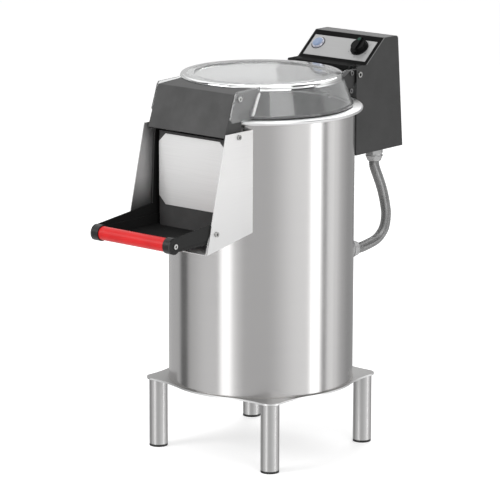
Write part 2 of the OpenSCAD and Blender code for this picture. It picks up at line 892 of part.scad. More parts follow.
nose_in = hood_half_w + seat;
nose_front = [-drum_r - hood_top_reach + 1, flange_top + 65];

// Side plate of the nose, with its front edge along the hood's
module nose_outline() {
  foot = flange_top + 2;
  corner = 8;
  slope = (hood_front.x - hood_foot.x) / (hood_front.y - hood_foot.y);
  foot_y = nose_front.x - slope * (nose_front.y - foot) + 2;
  polygon([
    [nose_front.x + corner / 2, nose_front.y], [nose_front.x, nose_front.y - corner / 2],
    [foot_y + corner * slope, foot + corner], [foot_y + corner, foot],
    [-drum_r / 2, foot], [-drum_r / 2, nose_front.y + 3]]);
}

arm_foot = flange_top + 7;
arm_roof = lid_pin_z + knuckle_r;
arm_in = lid_arm_x - lid_arm_w / 2;
arm_out = lid_arm_x + lid_arm_w / 2;
lug_t = 4;
arm_screw_r = 3;
arm_screws = [[lid_pin_y - 22.5, arm_roof - 5.5], [lid_pin_y - 24.5, arm_foot + 7.5]];

// Side view of a hinge arm's flat part, up to the given distance behind the lid
module arm_plate_outline(back) {
  polygon([
    [drum_r * 0.7, arm_foot], [box_y - 9, arm_foot], [box_y - 6, arm_foot + 16],
    [max(back, box_y - 6), arm_roof - 2 * knuckle_r], [max(back, box_y - 6), arm_roof],
    [lid_pin_y - 27, arm_roof], [drum_r * 0.7, arm_roof - 25]]);
}

// Clear lid: conical wall, round bead, flat top with a shallow window, the side plates of its nose and,
// at the back, a lug inside each hinge arm
module lid_dome() {
  lug_x = arm_in - seat;
  color("aliceblue", 0.35) at_axis() {
    rotate_extrude($fn = 180) {
      translate([lid_foot_r - lid_wall - 4, lid_z]) square([lid_wall + 4 + lid_foot_w, foot_h]);
      polygon([
        [lid_foot_r, cone_z - 1], [lid_top_r, cone_top], [bead.x + 4, bead.y],
        [bead.x - 4, bead.y], [lid_top_r - lid_wall, cone_top], [lid_foot_r - lid_wall, cone_z - 1]]);
      translate(bead) circle(r = lid_bead_r);
      polygon([
        [bead.x, bead_top], [window_r + window_depth, bead_top], [window_r, window_z],
        [0, window_z], [0, window_z - lid_wall], [window_r, window_z - lid_wall],
        [window_r + window_depth, bead_top - lid_wall], [bead.x, bead_top - lid_wall]]);
    }
    difference() {
      both_sides() {
        along_x(nose_in, nose_in + nose_t) nose_outline();
        along_x(lug_x - lug_t, lug_x) arm_plate_outline(0);
      }
      both_sides()
        for (at = arm_screws) bar_x(lug_x - lug_t - eps, lug_x + eps, at.x, at.y, arm_screw_r + fit);
      rotate_extrude($fn = 180)
        polygon([
          [0, lid_z - 10], [lid_foot_r + lid_foot_w - 1, lid_z - 10],
          [lid_foot_r + lid_foot_w - 1, lid_z + 1], [lid_foot_r - 2, cone_z],
          [lid_top_r - 2, cone_top], [bead.x + 1, bead.y], [bead.x + 1, bead.y + 20], [0, bead.y + 20]]);
      both_sides() bar_x(nose_in - eps, nose_in + nose_t + eps, hood_screw.x, hood_screw.y, hood_screw_r + fit);
    }
  }
}

module lid_seal() {
  color("#404040") at_axis()
    tube(flange_top + seat, lid_z, lid_foot_r + 1.5, lid_foot_r - lid_wall - 3, $fn = 180);
}

hood_screw = [-drum_r - 3, flange_top + 50];
hood_screw_r = 2.5;
hood_front = [-drum_r - hood_top_reach, flange_top + hood_top_rise];
hood_foot = [-drum_r - hood_foot_reach, door_hinge_z - 2.5];

module hood_outline() {
  polygon([
    hood_front, hood_foot, [hood_foot.x + 30, hood_foot.y],
    [-drum_r / 2, hood_foot.y], [-drum_r / 2, hood_front.y + 6]]);
}

// Bent sheet hood over the chute: sloping front, top and two sides
module hood() {
  side_foot = door_hinge_z + 8;
  color("#5c5c5c") at_axis()
    difference() {
      along_x(-hood_half_w, hood_half_w)
        offset(r = 5, $fn = 48) offset(delta = -5) hood_outline();
      along_x(-hood_half_w + hood_t, hood_half_w - hood_t)
        offset(r = 5 - hood_t, $fn = 48) offset(delta = -5)
          hood_outline();
      // open underneath and behind, with the sides stopping above the hinge lugs
      translate([-hood_half_w - eps, hood_foot.x + 24, hood_foot.y - 10])
        cube([2 * hood_half_w + 2 * eps, drum_r, side_foot - hood_foot.y + 10]);
      translate([-hood_half_w + hood_t, hood_foot.x + 2, hood_foot.y - 10])
        cube([2 * hood_half_w - 2 * hood_t, drum_r, 14]);
      drum_space(flange_r + 1.5, hood_foot.y, lid_z);
      lid_envelope(seat);
      both_sides() bar_x(hood_half_w - 3, hood_half_w + eps, hood_screw.x, hood_screw.y, hood_screw_r + fit);
    }
}

module hood_screws() {
  color("silver") at_axis() both_sides() {
    side_screw(nose_in + nose_t, hood_screw.x, hood_screw.y, hood_screw_r, nose_t + hood_t + seat + 5);
    bar_x(hood_half_w - hood_t - 4, hood_half_w - hood_t, hood_screw.x, hood_screw.y, 5, $fn = 6);
  }
}

// Black arms bolted to the lid's lugs, with a knuckle around the hinge pin
module lid_hinge_arms() {
  color("#1e1e1e") at_axis() both_sides()
    difference() {
      along_x(arm_in, arm_out) {
        translate([lid_pin_y, lid_pin_z]) circle(r = knuckle_r);
        arm_plate_outline(lid_pin_y);
      }
      lid_envelope(seat);
      bar_x(arm_in - eps, arm_out + eps, lid_pin_y, lid_pin_z, lid_pin_r + 2 * shaft_gap);
      for (at = arm_screws) bar_x(arm_in - eps, arm_out + eps, at.x, at.y, arm_screw_r + fit);
    }
}

module lid_arm_screws() {
  color("silver") at_axis() both_sides()
    for (at = arm_screws)
      side_screw(arm_out, at.x, at.y, arm_screw_r, lid_arm_w + seat + lug_t, [5.2, 2.4]);
}

module lid_hinge_pin() {
  pin_end = box_half_w;
  color("silver") at_axis() {
    bar_x(-pin_end - eps, pin_end + eps, lid_pin_y, lid_pin_z, lid_pin_r);
    both_sides()
      difference() {
        bar_x(pin_end, pin_end + 3, lid_pin_y, lid_pin_z, 6.5);
        bar_x(pin_end + 1.5, pin_end + 4, lid_pin_y, lid_pin_z, 3, $fn = 6);
      }
  }
}

// ---- Control box ----

slope_rise = box_top - ledge_z;
slope_angle = atan2(slope_rise, slope_depth);
slope_len = sqrt(slope_rise * slope_rise + slope_depth * slope_depth);
back_angle = atan2(back_lean, box_top - box_z);
recess_floor = flange_top - 2 * flange_bead_r - 3;

function back_at(z) = back_y - (z - box_z) * tan(back_angle);

bend_at = [back_top_y - box_bend_r * (1 - sin(back_angle)) / cos(back_angle), box_top - box_bend_r];
bend_end = bend_at + box_bend_r * [cos(back_angle), sin(back_angle)];
// the rear cover ends at a seam under the bend
seam_z = box_top - 2 * box_bend_r;

// Side view of the box, as (y, z), without its rear cover and the bulge of its bend
module box_outline() {
  polygon([
    [box_y, box_z], [box_y, ledge_z], [slope_y, ledge_z], [box_top_y, box_top],
    [bend_at.x, box_top], bend_end, [back_at(seam_z), seam_z],
    [back_at(seam_z) - box_wall, seam_z], [back_y - box_wall, box_z]]);
}

// Recess for the lid's hinge, grown by d, under a lip at the ledge's front edge
module recess_outline(d) {
  lip_h = 6;
  difference() {
    translate([box_y - 20, recess_floor - d])
      square([20 + recess_depth + d, ledge_z - box_wall - recess_floor + d + (d > 0 ? eps : 0)]);
    if (d == 0) translate([box_y, ledge_z - lip_h]) square([box_wall, lip_h]);
  }
}

// Local +Z points out of the sloping panel and local +Y points up it
module on_panel(x, s) {
  translate([x, slope_y, ledge_z]) rotate([slope_angle, 0, 0]) translate([0, s, 0]) children();
}

// Local +Z points out of the rear cover and local -Y points up it
module on_back(x, s) {
  translate([x, back_y, box_z]) rotate([back_angle - 90, 0, 0]) translate([0, -s, 0]) children();
}

upper_gland = [70, 304];
cover_screw_x = box_half_w - 9;
cover_len = (seam_z - box_z) / cos(back_angle);

// Folded sheet box: ears at the front carry the lid's hinge pin over a recess for its arms
module control_box() {
  inner_x = box_half_w - box_wall;
  notch_x = arm_in - lug_t - 2;
  color("#4a4a4a") at_axis()
    difference() {
      along_x(-box_half_w, box_half_w) {
        box_outline();
        translate(bend_at) circle(r = box_bend_r);
      }
      difference() {
        along_x(-inner_x, inner_x) {
          offset(delta = -box_wall) box_outline();
          translate(bend_at) circle(r = box_bend_r - box_wall);
          polygon([
            [back_y - 20, box_z + box_wall], [back_y + 5, box_z + box_wall],
            [back_at(seam_z - 8) + 5, seam_z - 8], [back_at(seam_z - 8) - 10, seam_z - 8]]);
        }
        along_x(-box_half_w, box_half_w) recess_outline(box_wall);
        // tabs that take the rear cover's screws
        for (sx = [-1, 1], s = [9, cover_len - 9])
          on_back(sx * cover_screw_x, s) translate([-7.5, -7.5, -14]) cube([15, 15, 14 - box_wall]);
      }
      along_x(-inner_x, inner_x) recess_outline(0);
      both_sides()
        translate([notch_x, box_y - eps, ledge_z - 8])
          cube([inner_x - notch_x, recess_depth + eps, 12]);
      bar_x(-box_half_w - eps, box_half_w + eps, lid_pin_y, lid_pin_z, lid_pin_r + fit);
      on_panel(-button_x, control_s) translate([0, 0, -6]) cylinder(r = button_r + 1.1, h = 12);
      on_panel(knob_x, control_s) translate([0, 0, -6]) cylinder(r = 5, h = 12);
      translate([upper_gland.x, upper_gland.y, box_z - eps])
        cylinder(r = gland_thread_r + seat, h = 2 * box_wall + eps);
      for (sx = [-1, 1], s = [9, cover_len - 9])
        on_back(sx * cover_screw_x, s) translate([0, 0, -20]) cylinder(r = 2, h = 30);
    }
}

module box_rear_cover() {
  color("#454545") at_axis()
    difference() {
      along_x(-box_half_w, box_half_w)
        polygon([
          [back_y - box_wall, box_z], [back_y, box_z],
          [back_at(seam_z), seam_z], [back_at(seam_z) - box_wall, seam_z]]);
      for (sx = [-1, 1], s = [9, cover_len - 9])
        on_back(sx * cover_screw_x, s) translate([0, 0, -10]) cylinder(r = 2, h = 20);
    }
}

module box_screws() {
  color("silver") at_axis()
    for (sx = [-1, 1], s = [9, cover_len - 9])
      on_back(sx * cover_screw_x, s) {
        translate([0, 0, -12]) cylinder(r = 2 - fit, h = 13);
        cylinder(r = 4, h = 2.5);
      }
}

// Channel that spaces the box from the drum
module box_bracket() {
  half = 45;
  low = box_z + 20;
  high = recess_floor - 8;
  color("darkgray") at_axis()
    difference() {
      translate([-half, drum_r * 0.9, low]) cube([2 * half, box_y - drum_r * 0.9, high - low]);
      translate([-half + 3, drum_r * 0.8, low + 3])
        cube([2 * half - 6, box_y - 2 - drum_r * 0.8, high - low - 6]);
      drum_space(drum_r, low - eps, high + eps);
    }
}

label_s = 8;

module label_plate() {
  color("gainsboro") at_axis()
    difference() {
      on_panel(0, label_s) translate([-label_w / 2, 0, 0]) cube([label_w, label_h, 1]);
      on_panel(-button_x, control_s) translate([0, 0, -6]) cylinder(r = button_r + 1.1, h = 12);
      on_panel(knob_x, control_s) translate([0, 0, -6]) cylinder(r = 5, h = 12);
    }
}

bezel_in = button_r + control_gap;
bezel_h = 5;

module button_bezel() {
  color("white") at_axis() on_panel(-button_x, control_s)
    difference() {
      union() {
        translate([0, 0, 1]) cylinder(r1 = bezel_r, r2 = bezel_r - 2, h = bezel_h - 1);
        translate([0, 0, -10]) cylinder(r = button_r + 1.1 - fit, h = 11);
        translate([0, 0, -box_wall - 4]) cylinder(r = bezel_r, h = 4);
        translate([-15, -15, -36]) cube([30, 30, 26]);
      }
      translate([0, 0, -14]) cylinder(r = bezel_in, h = 30);
    }
}

module start_button() {
  color("cornflowerblue") at_axis() on_panel(-button_x, control_s)
    intersection() {
      translate([0, 0, -9]) cylinder(r = button_r, h = 16);
      translate([0, 0, 7 - 60]) sphere(r = 60);
    }
}

// Round knob with a pointer bar
module timer_knob() {
  color("#161616") at_axis() on_panel(knob_x, control_s)
    difference() {
      union() {
        translate([0, 0, 1 + seat]) cylinder(r = knob_r, h = 3);
        translate([0, 0, 4]) cylinder(r1 = knob_r - 3, r2 = knob_r - 5, h = knob_h - 8);
        translate([-5, -knob_r + 3, 4]) cube([10, 2 * knob_r - 6, knob_h - 4]);
      }
      cylinder(r = 3 + fit, h = knob_h - 4);
    }
}

module timer_spindle() {
  color("silver") at_axis() on_panel(knob_x, control_s)
    translate([0, 0, -14]) cylinder(r = 3, h = 14 + knob_h - 4 - eps);
}

module timer_unit() {
  color("ivory") at_axis() on_panel(knob_x, control_s)
    difference() {
      union() {
        translate([-22, -22, -box_wall - 38]) cube([44, 44, 38]);
        translate([0, 0, -box_wall - eps]) cylinder(r = 5 - fit, h = box_wall + eps);
      }
      translate([0, 0, -14 - seat]) cylinder(r = 3 + 2 * shaft_gap, h = 20);
    }
}

module contactor() {
  color("beige") at_axis() translate([-70, box_y + box_wall, box_z + 40]) {
    cube([45, 55, 60]);
    translate([5, 55, 8]) cube([35, 12, 44]);
  }
}

module terminal_block() {
  way = [9, 22, 26];
  color("ivory") at_axis()
    translate([0, box_y + box_wall, box_z + 50]) {
      cube([6 * way.x, 4, way.z]);
      for (i = [0:5]) translate([i * way.x + 0.5, 3, 2]) cube([way.x - 1, way.y, way.z - 4]);
    }
}

// Sensor that stops the motor when the lid is lifted
module lid_switch() {
  color("#2a2a2a") at_axis()
    translate([-20, box_y + recess_depth + box_wall, flange_top + 20]) {
      cube([40, 14, 22]);
      translate([5, 13, 5]) cube([30, 6, 12]);
    }
}

// ---- Conduit, drain and water ----

gland_len = 28;

// A cable gland standing on z = 0, with its thread and locknut behind the sheet
module gland(sheet) {
  nut_r = 20.5;
  difference() {
    union() {
      cylinder(r = nut_r, h = 12, $fn = 6);
      translate([0, 0, 12]) cylinder(r = nut_r - 3, h = 4);
      translate([0, 0, 16]) cylinder(r1 = nut_r - 1, r2 = conduit_r + 3, h = gland_len - 16);
      translate([0, 0, -sheet - 6]) cylinder(r = gland_thread_r, h = sheet + 7);
      translate([0, 0, -sheet - 5]) cylinder(r = nut_r - 4, h = 5, $fn = 6);
    }
    translate([0, 0, -sheet - 7]) cylinder(r = 7, h = gland_len + sheet + 20);
    translate([0, 0, gland_len - 10]) cylinder(r = conduit_r + seat, h = 12);
  }
}

module conduit_glands() {
  color("darkgray") at_axis() {
    translate([upper_gland.x, upper_gland.y, box_z]) rotate([180, 0, 0]) gland(box_wall);
    difference() {
      rotate(conduit_angle) translate([drum_r - 1, 0, conduit_z]) rotate([0, 90, 0]) gland(drum_wall - 0.3);
      difference() {
        drum_space(drum_r, conduit_z - 40, conduit_z + 40);
        lower_gland_line(gland_thread_r, drum_r / 2, drum_r + 4);
        drum_space(drum_in, conduit_z - 40, conduit_z + 40);
      }
    }
  }
}

// A point on the lower gland's axis, at a distance from its foot
function at_lower_gland(d) =
  [(drum_r - 1 + d) * cos(conduit_angle), (drum_r - 1 + d) * sin(conduit_angle), conduit_z];

// The conduit's route from its lower gland to the box
conduit_route = [
  at_lower_gland(gland_len - 9), at_lower_gland(gland_len + 2), [107, 219, 418.5], [103, 236, 418.5],
  [99, 254, 419], [96, 272, 420.5], [93, 290, 424], [90, 305, 430], [88, 318, 439], [86, 326, 450],
  [84, 331, 462], [83, 332.5, 476], [81, 332, 490], [79, 330, 506], [77, 326, 524], [75, 321, 540],
  [73, 315, 556],
  [71, 309, 571], [70, 304.6, 583], [upper_gland.x, upper_gland.y, box_z - gland_len - 2],
  [upper_gland.x, upper_gland.y, box_z - gland_len + 9]];

function unit(v) = v / norm(v);

// Rings of points square to the route, turned as little as possible from one to the next
function route_dir(p, i) =
  unit(p[min(i + 1, len(p) - 1)] - p[max(i - 1, 0)]);
function ring_points(p, i, r, sides) =
  let (
    d = route_dir(p, i),
    u = unit(cross(d, [1, 0.2, 0])),
    v = cross(d, u)
  )
  [for (k = [0:sides - 1]) p[i] + r * (cos(360 * k / sides) * u + sin(360 * k / sides) * v)];

module sweep(p, r, sides) {
  n = len(p);
  points = [for (i = [0:n - 1]) each ring_points(p, i, r, sides)];
  walls = [for (i = [0:n - 2], k = [0:sides - 1])
    each [
      [i * sides + k, (i + 1) * sides + k, (i + 1) * sides + (k + 1) % sides],
      [i * sides + k, (i + 1) * sides + (k + 1) % sides, i * sides + (k + 1) % sides]]];
  ends = [[for (k = [0:sides - 1]) k], [for (k = [sides - 1:-1:0]) (n - 1) * sides + k]];
  polyhedron(points, concat(walls, ends));
}

module conduit() {
  color("gray") at_axis() sweep(conduit_route, conduit_r, 12);
}

// Drain elbow from the chamber floor out through the back of the drum
module drain_outlet() {
  collar = 4;
  wall_y = sqrt(drum_r * drum_r - pow(abs(drain_x) - drain_r, 2)) + 2;
  color("gainsboro") at_axis()
    difference() {
      union() {
        translate([drain_x, drain_y, drain_z]) cylinder(r = drain_r, h = floor_under - drain_z);
        translate([drain_x, drain_y, floor_under - 4]) cylinder(r = drain_r + 7, h = 4);
        translate([drain_x, drain_y, drain_z]) sphere(r = drain_r);
        drain_line(drain_r, drain_y, wall_y + drain_len);
        drain_line(drain_r + 3, wall_y, wall_y + collar);
      }
      translate([drain_x, drain_y, drain_z]) cylinder(r = drain_r - drain_wall, h = 2 * drain_r);
      translate([drain_x, drain_y, drain_z]) sphere(r = drain_r - drain_wall);
      drain_line(drain_r - drain_wall, drain_y, wall_y + drain_len + eps);
    }
}

module water_inlet() {
  nut = 8;
  bore_r = inlet_r - 3;
  color("goldenrod") at_axis()
    difference() {
      union() {
        inlet_line(inlet_r, drum_in - liner_t - 2, drum_r + nut + inlet_len);
        difference() {
          inlet_line(inlet_r + 5, drum_r - 3, drum_r + nut, $fn = 6);
          drum_space(drum_r, inlet_z - 40, inlet_z + 40);
        }
      }
      inlet_line(bore_r, drum_r / 2, drum_r + nut + inlet_len + eps);
    }
}

base_plate();
leg_tubes();
leg_end_caps();
levelling_foot_front_right();
levelling_foot_front_left();
levelling_foot_rear_right();
levelling_foot_rear_left();
drum_shell();
top_flange();
abrasive_liner();
chamber_floor();
bearing_housing();
shaft_bearings();
shaft_seal();
main_shaft();
disc_plate();
disc_abrasive();
driven_pulley();
drive_belt();
motor_pulley();
motor_shaft();
motor();
motor_plate();
motor_capacitor();
mouth_collar();
right_cheek();
left_cheek();
chute_floor();
cheek_screws();
door_hinge_pins();
door_body();
door_face_plate();
door_gasket();
handle_grip();
handle_end_caps();
handle_screws();
lid_dome();
lid_seal();
hood();
hood_screws();
lid_hinge_arms();
lid_arm_screws();
lid_hinge_pin();
control_box();
box_rear_cover();
box_screws();
box_bracket();
label_plate();
button_bezel();
start_button();
timer_knob();
timer_spindle();
timer_unit();
contactor();
terminal_block();
lid_switch();
conduit_glands();
conduit();
drain_outlet();
water_inlet();
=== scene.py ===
import math

import bmesh
import bpy
from mathutils import Matrix, Vector


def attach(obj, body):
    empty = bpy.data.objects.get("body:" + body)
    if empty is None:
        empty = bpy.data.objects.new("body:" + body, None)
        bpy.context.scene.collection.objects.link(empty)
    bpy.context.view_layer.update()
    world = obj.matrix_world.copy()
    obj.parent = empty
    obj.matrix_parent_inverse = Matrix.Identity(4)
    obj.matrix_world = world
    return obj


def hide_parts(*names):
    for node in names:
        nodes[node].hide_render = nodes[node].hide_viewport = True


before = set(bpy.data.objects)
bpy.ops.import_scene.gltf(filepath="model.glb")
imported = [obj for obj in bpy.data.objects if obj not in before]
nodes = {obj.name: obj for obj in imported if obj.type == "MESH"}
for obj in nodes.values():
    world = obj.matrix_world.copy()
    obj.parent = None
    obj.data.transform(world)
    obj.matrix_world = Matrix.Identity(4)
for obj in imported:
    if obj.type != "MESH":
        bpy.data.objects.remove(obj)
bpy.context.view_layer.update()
print("stage 1: frame loaded,", len(nodes), "nodes")

mm = 0.001
drumAxis = Vector((0, 0.0255, 0))  # the drum stands a little behind the part's origin

cameraSettings = {
    "turn": 40.09,          # degrees round from the front
    "lift": 12.70,          # degrees above the horizon
    "roll": 0.155,
    "distance": 6.7668,     # from the point that it aims at
    "lens": 225.4,
    "sensor": 36,
    "clip": (0.1, 100),
    "aimAside": -0.024088,  # from the drum's axis
    "aimHeight": 0.43203,
}


def makeCamera(s):
    turn, lift = math.radians(s["turn"]), math.radians(s["lift"])
    back = Vector((math.sin(turn) * math.cos(lift), -math.cos(turn) * math.cos(lift), math.sin(lift)))
    right = Vector((math.cos(turn), math.sin(turn), 0))
    up = back.cross(right)
    aim = drumAxis + right * s["aimAside"] + Vector((0, 0, s["aimHeight"]))
    data = bpy.data.cameras.new("camera")
    data.lens, data.sensor_width = s["lens"], s["sensor"]
    data.clip_start, data.clip_end = s["clip"]
    camera = bpy.data.objects.new("camera", data)
    place = Matrix((right, up, back)).transposed().to_4x4()
    place = place @ Matrix.Rotation(math.radians(s["roll"]), 4, "Z")
    place.translation = aim + back * s["distance"]
    camera.matrix_world = place
    bpy.context.scene.collection.objects.link(camera)
    bpy.context.scene.camera = camera


def addNode(tree, kind, inputs=None, **settings):
    node = tree.nodes.new(kind)
    for name, value in settings.items():
        setattr(node, name, value)
    for socket, value in (inputs or {}).items():
        if isinstance(value, bpy.types.NodeSocket):
            tree.links.new(value, node.inputs[socket])
        else:
            node.inputs[socket].default_value = value
    return node


def mathNode(tree, operation, *values):
    return addNode(tree, "ShaderNodeMath", dict(enumerate(values)), operation=operation).outputs[0]


def allOf(tree, share, *others):
    for other in others:
        share = mathNode(tree, "MULTIPLY", share, other)
    return share


def placeParts(tree, kind="Object"):
    place = addNode(tree, "ShaderNodeTexCoord")
    return addNode(tree, "ShaderNodeSeparateXYZ", {"Vector": place.outputs[kind]}).outputs


def climb(tree, height, ends):
    node = addNode(tree, "ShaderNodeMapRange", {
        "Value": height, "From Min": ends[0], "From Max": ends[1], "To Min": 0.0, "To Max": 1.0},
        interpolation_type="SMOOTHSTEP")
    return node.outputs[0]


studio = {
    "roomLevel": 0.62,        # light that falls on the object from all round
    "wallLevel": 0.56,        # what steel mirrors where nothing stands
    "ceilingLevel": 1.25,
    "paperLevel": 1.0,        # the pale floor far below the horizon
    # sines of the heights between which each of them gives way to the next
    "paper": (-0.62, -0.42),
    "ceiling": (0.25, 0.55),
    "skirting": (-0.26, -0.16), "skirtingShares": (0.9, 1.1),
    # what stands round the object: degrees from the camera, half width, soft edges on either side, level
    "screens": [
        {"at": -66, "half": 4, "before": 30, "after": 12, "level": 0.76},
        {"at": -38, "half": 2, "before": 10, "after": 16, "level": 0.95},
        {"at": -45, "half": 4, "before": 6, "after": 8, "level": 1.9},
        {"at": -112, "half": 6, "before": 4, "after": 5, "level": 0.15},
        {"at": 56, "half": 5, "before": 45, "after": 14, "level": 0.98},
        {"at": 95, "half": 4, "before": 5, "after": 22, "level": 1.02},
        {"at": 150, "half": 10, "before": 25, "after": 20, "level": 0.36},
        {"at": 85, "half": 1.5, "before": 3, "after": 4, "level": 0.3},
        {"at": 71.5, "half": 6, "before": 3, "after": 2.5, "level": 2.3},
    ],
    "brightest": 2.5,         # no screen goes above this level
    # dark cards on either side, and the sines of the heights between which they fade in and out
    "cards": [
        {"at": -76, "half": 24, "before": 10, "after": 12, "level": 0.06},
        {"at": 64, "half": 20, "before": 10, "after": 10, "level": 0.06},
    ],
    "cardsFoot": (0.04, 0.16),
    "cardsHead": (0.80, 0.92),
    "steps": 240,             # points of a curve that goes once round the object
}


def screenLevel(level, screens, degrees):
    for screen in screens:
        off = (degrees - screen["at"] + 180) % 360 - 180
        soft = screen["before"] if off < 0 else screen["after"]
        share = min(1, max(0, 1 - (abs(off) - screen["half"]) / soft))
        share = share * share * (3 - 2 * share)
        level = level * (1 - share) + screen["level"] * share
    return level


def turnedLevels(tree, share, plain, screens, top, steps):
    node = addNode(tree, "ShaderNodeFloatCurve", {"Value": share})
    curve = node.mapping.curves[0]
    for n in range(1, steps):
        curve.points.new(n / steps, screenLevel(plain, screens, 360 * n / steps - 180) / top)
    curve.points[0].location = (0, screenLevel(plain, screens, -180) / top)
    curve.points[-1].location = (1, screenLevel(plain, screens, 180) / top)
    for point in curve.points:
        point.handle_type = "VECTOR"
    node.mapping.update()
    return node.outputs[0]


def makeWorld(s):
    world = bpy.data.worlds.new("studio")
    bpy.context.scene.world = world
    world.use_nodes = True
    tree = world.node_tree
    tree.nodes.clear()
    east, north, height = placeParts(tree, "Generated")
    turn = mathNode(tree, "ARCTAN2", east, mathNode(tree, "MULTIPLY", north, -1))
    turn = mathNode(tree, "SUBTRACT", turn, math.radians(cameraSettings["turn"]))
    share = mathNode(tree, "FRACT", mathNode(tree, "ADD", mathNode(tree, "DIVIDE", turn, 2 * math.pi), 0.5))
    top = s["brightest"]
    screens = turnedLevels(tree, share, s["wallLevel"], s["screens"], top, s["steps"])
    cards = turnedLevels(tree, share, 1.0, s["cards"], 1.0, s["steps"])
    low, high = s["skirtingShares"]
    fade = addNode(tree, "ShaderNodeMapRange", {
        "Value": height, "From Min": s["skirting"][0], "From Max": s["skirting"][1],
        "To Min": low * top, "To Max": high * top})
    walls = mathNode(tree, "MULTIPLY", screens, fade.outputs[0])
    walls = addNode(tree, "ShaderNodeMix", {
        "Factor": climb(tree, height, s["paper"]), "A": s["paperLevel"], "B": walls}).outputs[0]
    mirrored = addNode(tree, "ShaderNodeMix", {
        "Factor": climb(tree, height, s["ceiling"]), "A": walls, "B": s["ceilingLevel"]}).outputs[0]
    band = mathNode(tree, "SUBTRACT", climb(tree, height, s["cardsFoot"]), climb(tree, height, s["cardsHead"]))
    shade = mathNode(tree, "MULTIPLY", band, mathNode(tree, "SUBTRACT", 1.0, cards))
    mirrored = mathNode(tree, "MULTIPLY", mirrored, mathNode(tree, "SUBTRACT", 1.0, shade))
    ray = addNode(tree, "ShaderNodeLightPath")
    level = addNode(tree, "ShaderNodeMix", {
        "Factor": ray.outputs["Is Glossy Ray"], "A": s["roomLevel"], "B": mirrored}).outputs[0]
    seen = mathNode(tree, "MAXIMUM", ray.outputs["Is Camera Ray"], ray.outputs["Is Transmission Ray"])
    level = addNode(tree, "ShaderNodeMix", {"Factor": seen, "A": level, "B": 1.0}).outputs[0]
    light = addNode(tree, "ShaderNodeBackground", {"Color": (1, 1, 1, 1), "Strength": level})
    addNode(tree, "ShaderNodeOutputWorld", {"Surface": light.outputs[0]})


floorSettings = {
    "half": 30,
    "paper": (0.8, 0.8, 0.8, 1),
    "glow": 0.50,  # only where the camera looks, so that the floor is white and keeps the shadow
}


def makeFloor(s):
    mesh = bpy.data.meshes.new("floor")
    corners = [(x * s["half"], y * s["half"], 0) for x, y in ((-1, -1), (1, -1), (1, 1), (-1, 1))]
    mesh.from_pydata(corners, [], [(0, 1, 2, 3)])
    floor = bpy.data.objects.new("floor", mesh)
    bpy.context.scene.collection.objects.link(floor)
    material = bpy.data.materials.new("palePaper")
    material.use_nodes = True
    tree = material.node_tree
    tree.nodes.clear()
    paper = addNode(tree, "ShaderNodeBsdfDiffuse", {"Color": s["paper"]})
    glow = addNode(tree, "ShaderNodeEmission", {"Color": (1, 1, 1, 1), "Strength": s["glow"]})
    ray = addNode(tree, "ShaderNodeLightPath")
    seen = mathNode(tree, "MAXIMUM", ray.outputs["Is Camera Ray"], ray.outputs["Is Transmission Ray"])
    both = addNode(tree, "ShaderNodeAddShader", {0: paper.outputs[0], 1: glow.outputs[0]})
    mix = addNode(tree, "ShaderNodeMixShader", {0: seen, 1: paper.outputs[0], 2: both.outputs[0]})
    addNode(tree, "ShaderNodeOutputMaterial", {"Surface": mix.outputs[0]})
    mesh.materials.append(material)
    floor.visible_glossy = False


lampSettings = {
    "aim": (0, 0, 0.5),
    "lamps": [
        {"name": "keyLamp", "at": (-1.5, -3.0, 2.3), "size": 1.8, "watts": 54},
        {"name": "fillLamp", "at": (3.15, -1.28, 2.4), "size": 2.0, "watts": 30},
        {"name": "backLamp", "at": (-1.2, 2.6, 3.0), "size": 1.8, "watts": 40},
    ],
}


def makeLamps(s):
    for each in s["lamps"]:
        data = bpy.data.lights.new(each["name"], "AREA")
        data.shape, data.size, data.energy = "SQUARE", each["size"], each["watts"]
        lamp = bpy.data.objects.new(each["name"], data)
        lamp.location = each["at"]
        lamp.rotation_euler = (Vector(s["aim"]) - lamp.location).to_track_quat("-Z", "Y").to_euler()
        bpy.context.scene.collection.objects.link(lamp)


bpy.context.scene.view_settings.view_transform = "Standard"
makeCamera(cameraSettings)
makeWorld(studio)
makeFloor(floorSettings)
makeLamps(lampSettings)
print("stage 2: camera, floor and lamps")


def newFinish(name, sockets):
    material = bpy.data.materials.new(name)
    material.use_nodes = True
    tree = material.node_tree
    skin = tree.nodes["Principled BSDF"]
    for socket, value in sockets.items():
        skin.inputs[socket].default_value = value
    return material, tree, skin


def grey(level):
    return (level, level, level, 1)


def scaled(colour, share):
    return [share * c for c in colour[:3]] + [1]


def feed(tree, skin, socket, value):
    tree.links.new(value, skin.inputs[socket])


def spread(tree, value, low, high, fromLow=0.3, fromHigh=0.7):
    # noise lies mostly between 0.3 and 0.7
    node = addNode(tree, "ShaderNodeMapRange", {
        "Value": value, "From Min": fromLow, "From Max": fromHigh, "To Min": low, "To Max": high})
    return node.outputs[0]


def shades(tree, value, *stops):
    node = addNode(tree, "ShaderNodeValToRGB", {"Fac": value})
    for element, (at, colour) in zip(node.color_ramp.elements, stops):
        element.position, element.color = at, colour
    return node.outputs[0]


def mixed(tree, share, under, over):
    node = addNode(tree, "ShaderNodeMix", {"Factor": share, "A": under, "B": over}, data_type="RGBA")
    return node.outputs["Result"]


def objectPlace(tree, stretch=(1, 1, 1)):
    place = addNode(tree, "ShaderNodeTexCoord")
    return addNode(tree, "ShaderNodeMapping", {"Vector": place.outputs["Object"], "Scale": stretch}).outputs[0]


def noiseOn(tree, scale, detail=3.0, roughness=0.55, stretch=(1, 1, 1)):
    node = addNode(tree, "ShaderNodeTexNoise", {
        "Vector": objectPlace(tree, stretch), "Scale": scale, "Detail": detail, "Roughness": roughness})
    return node.outputs[0]


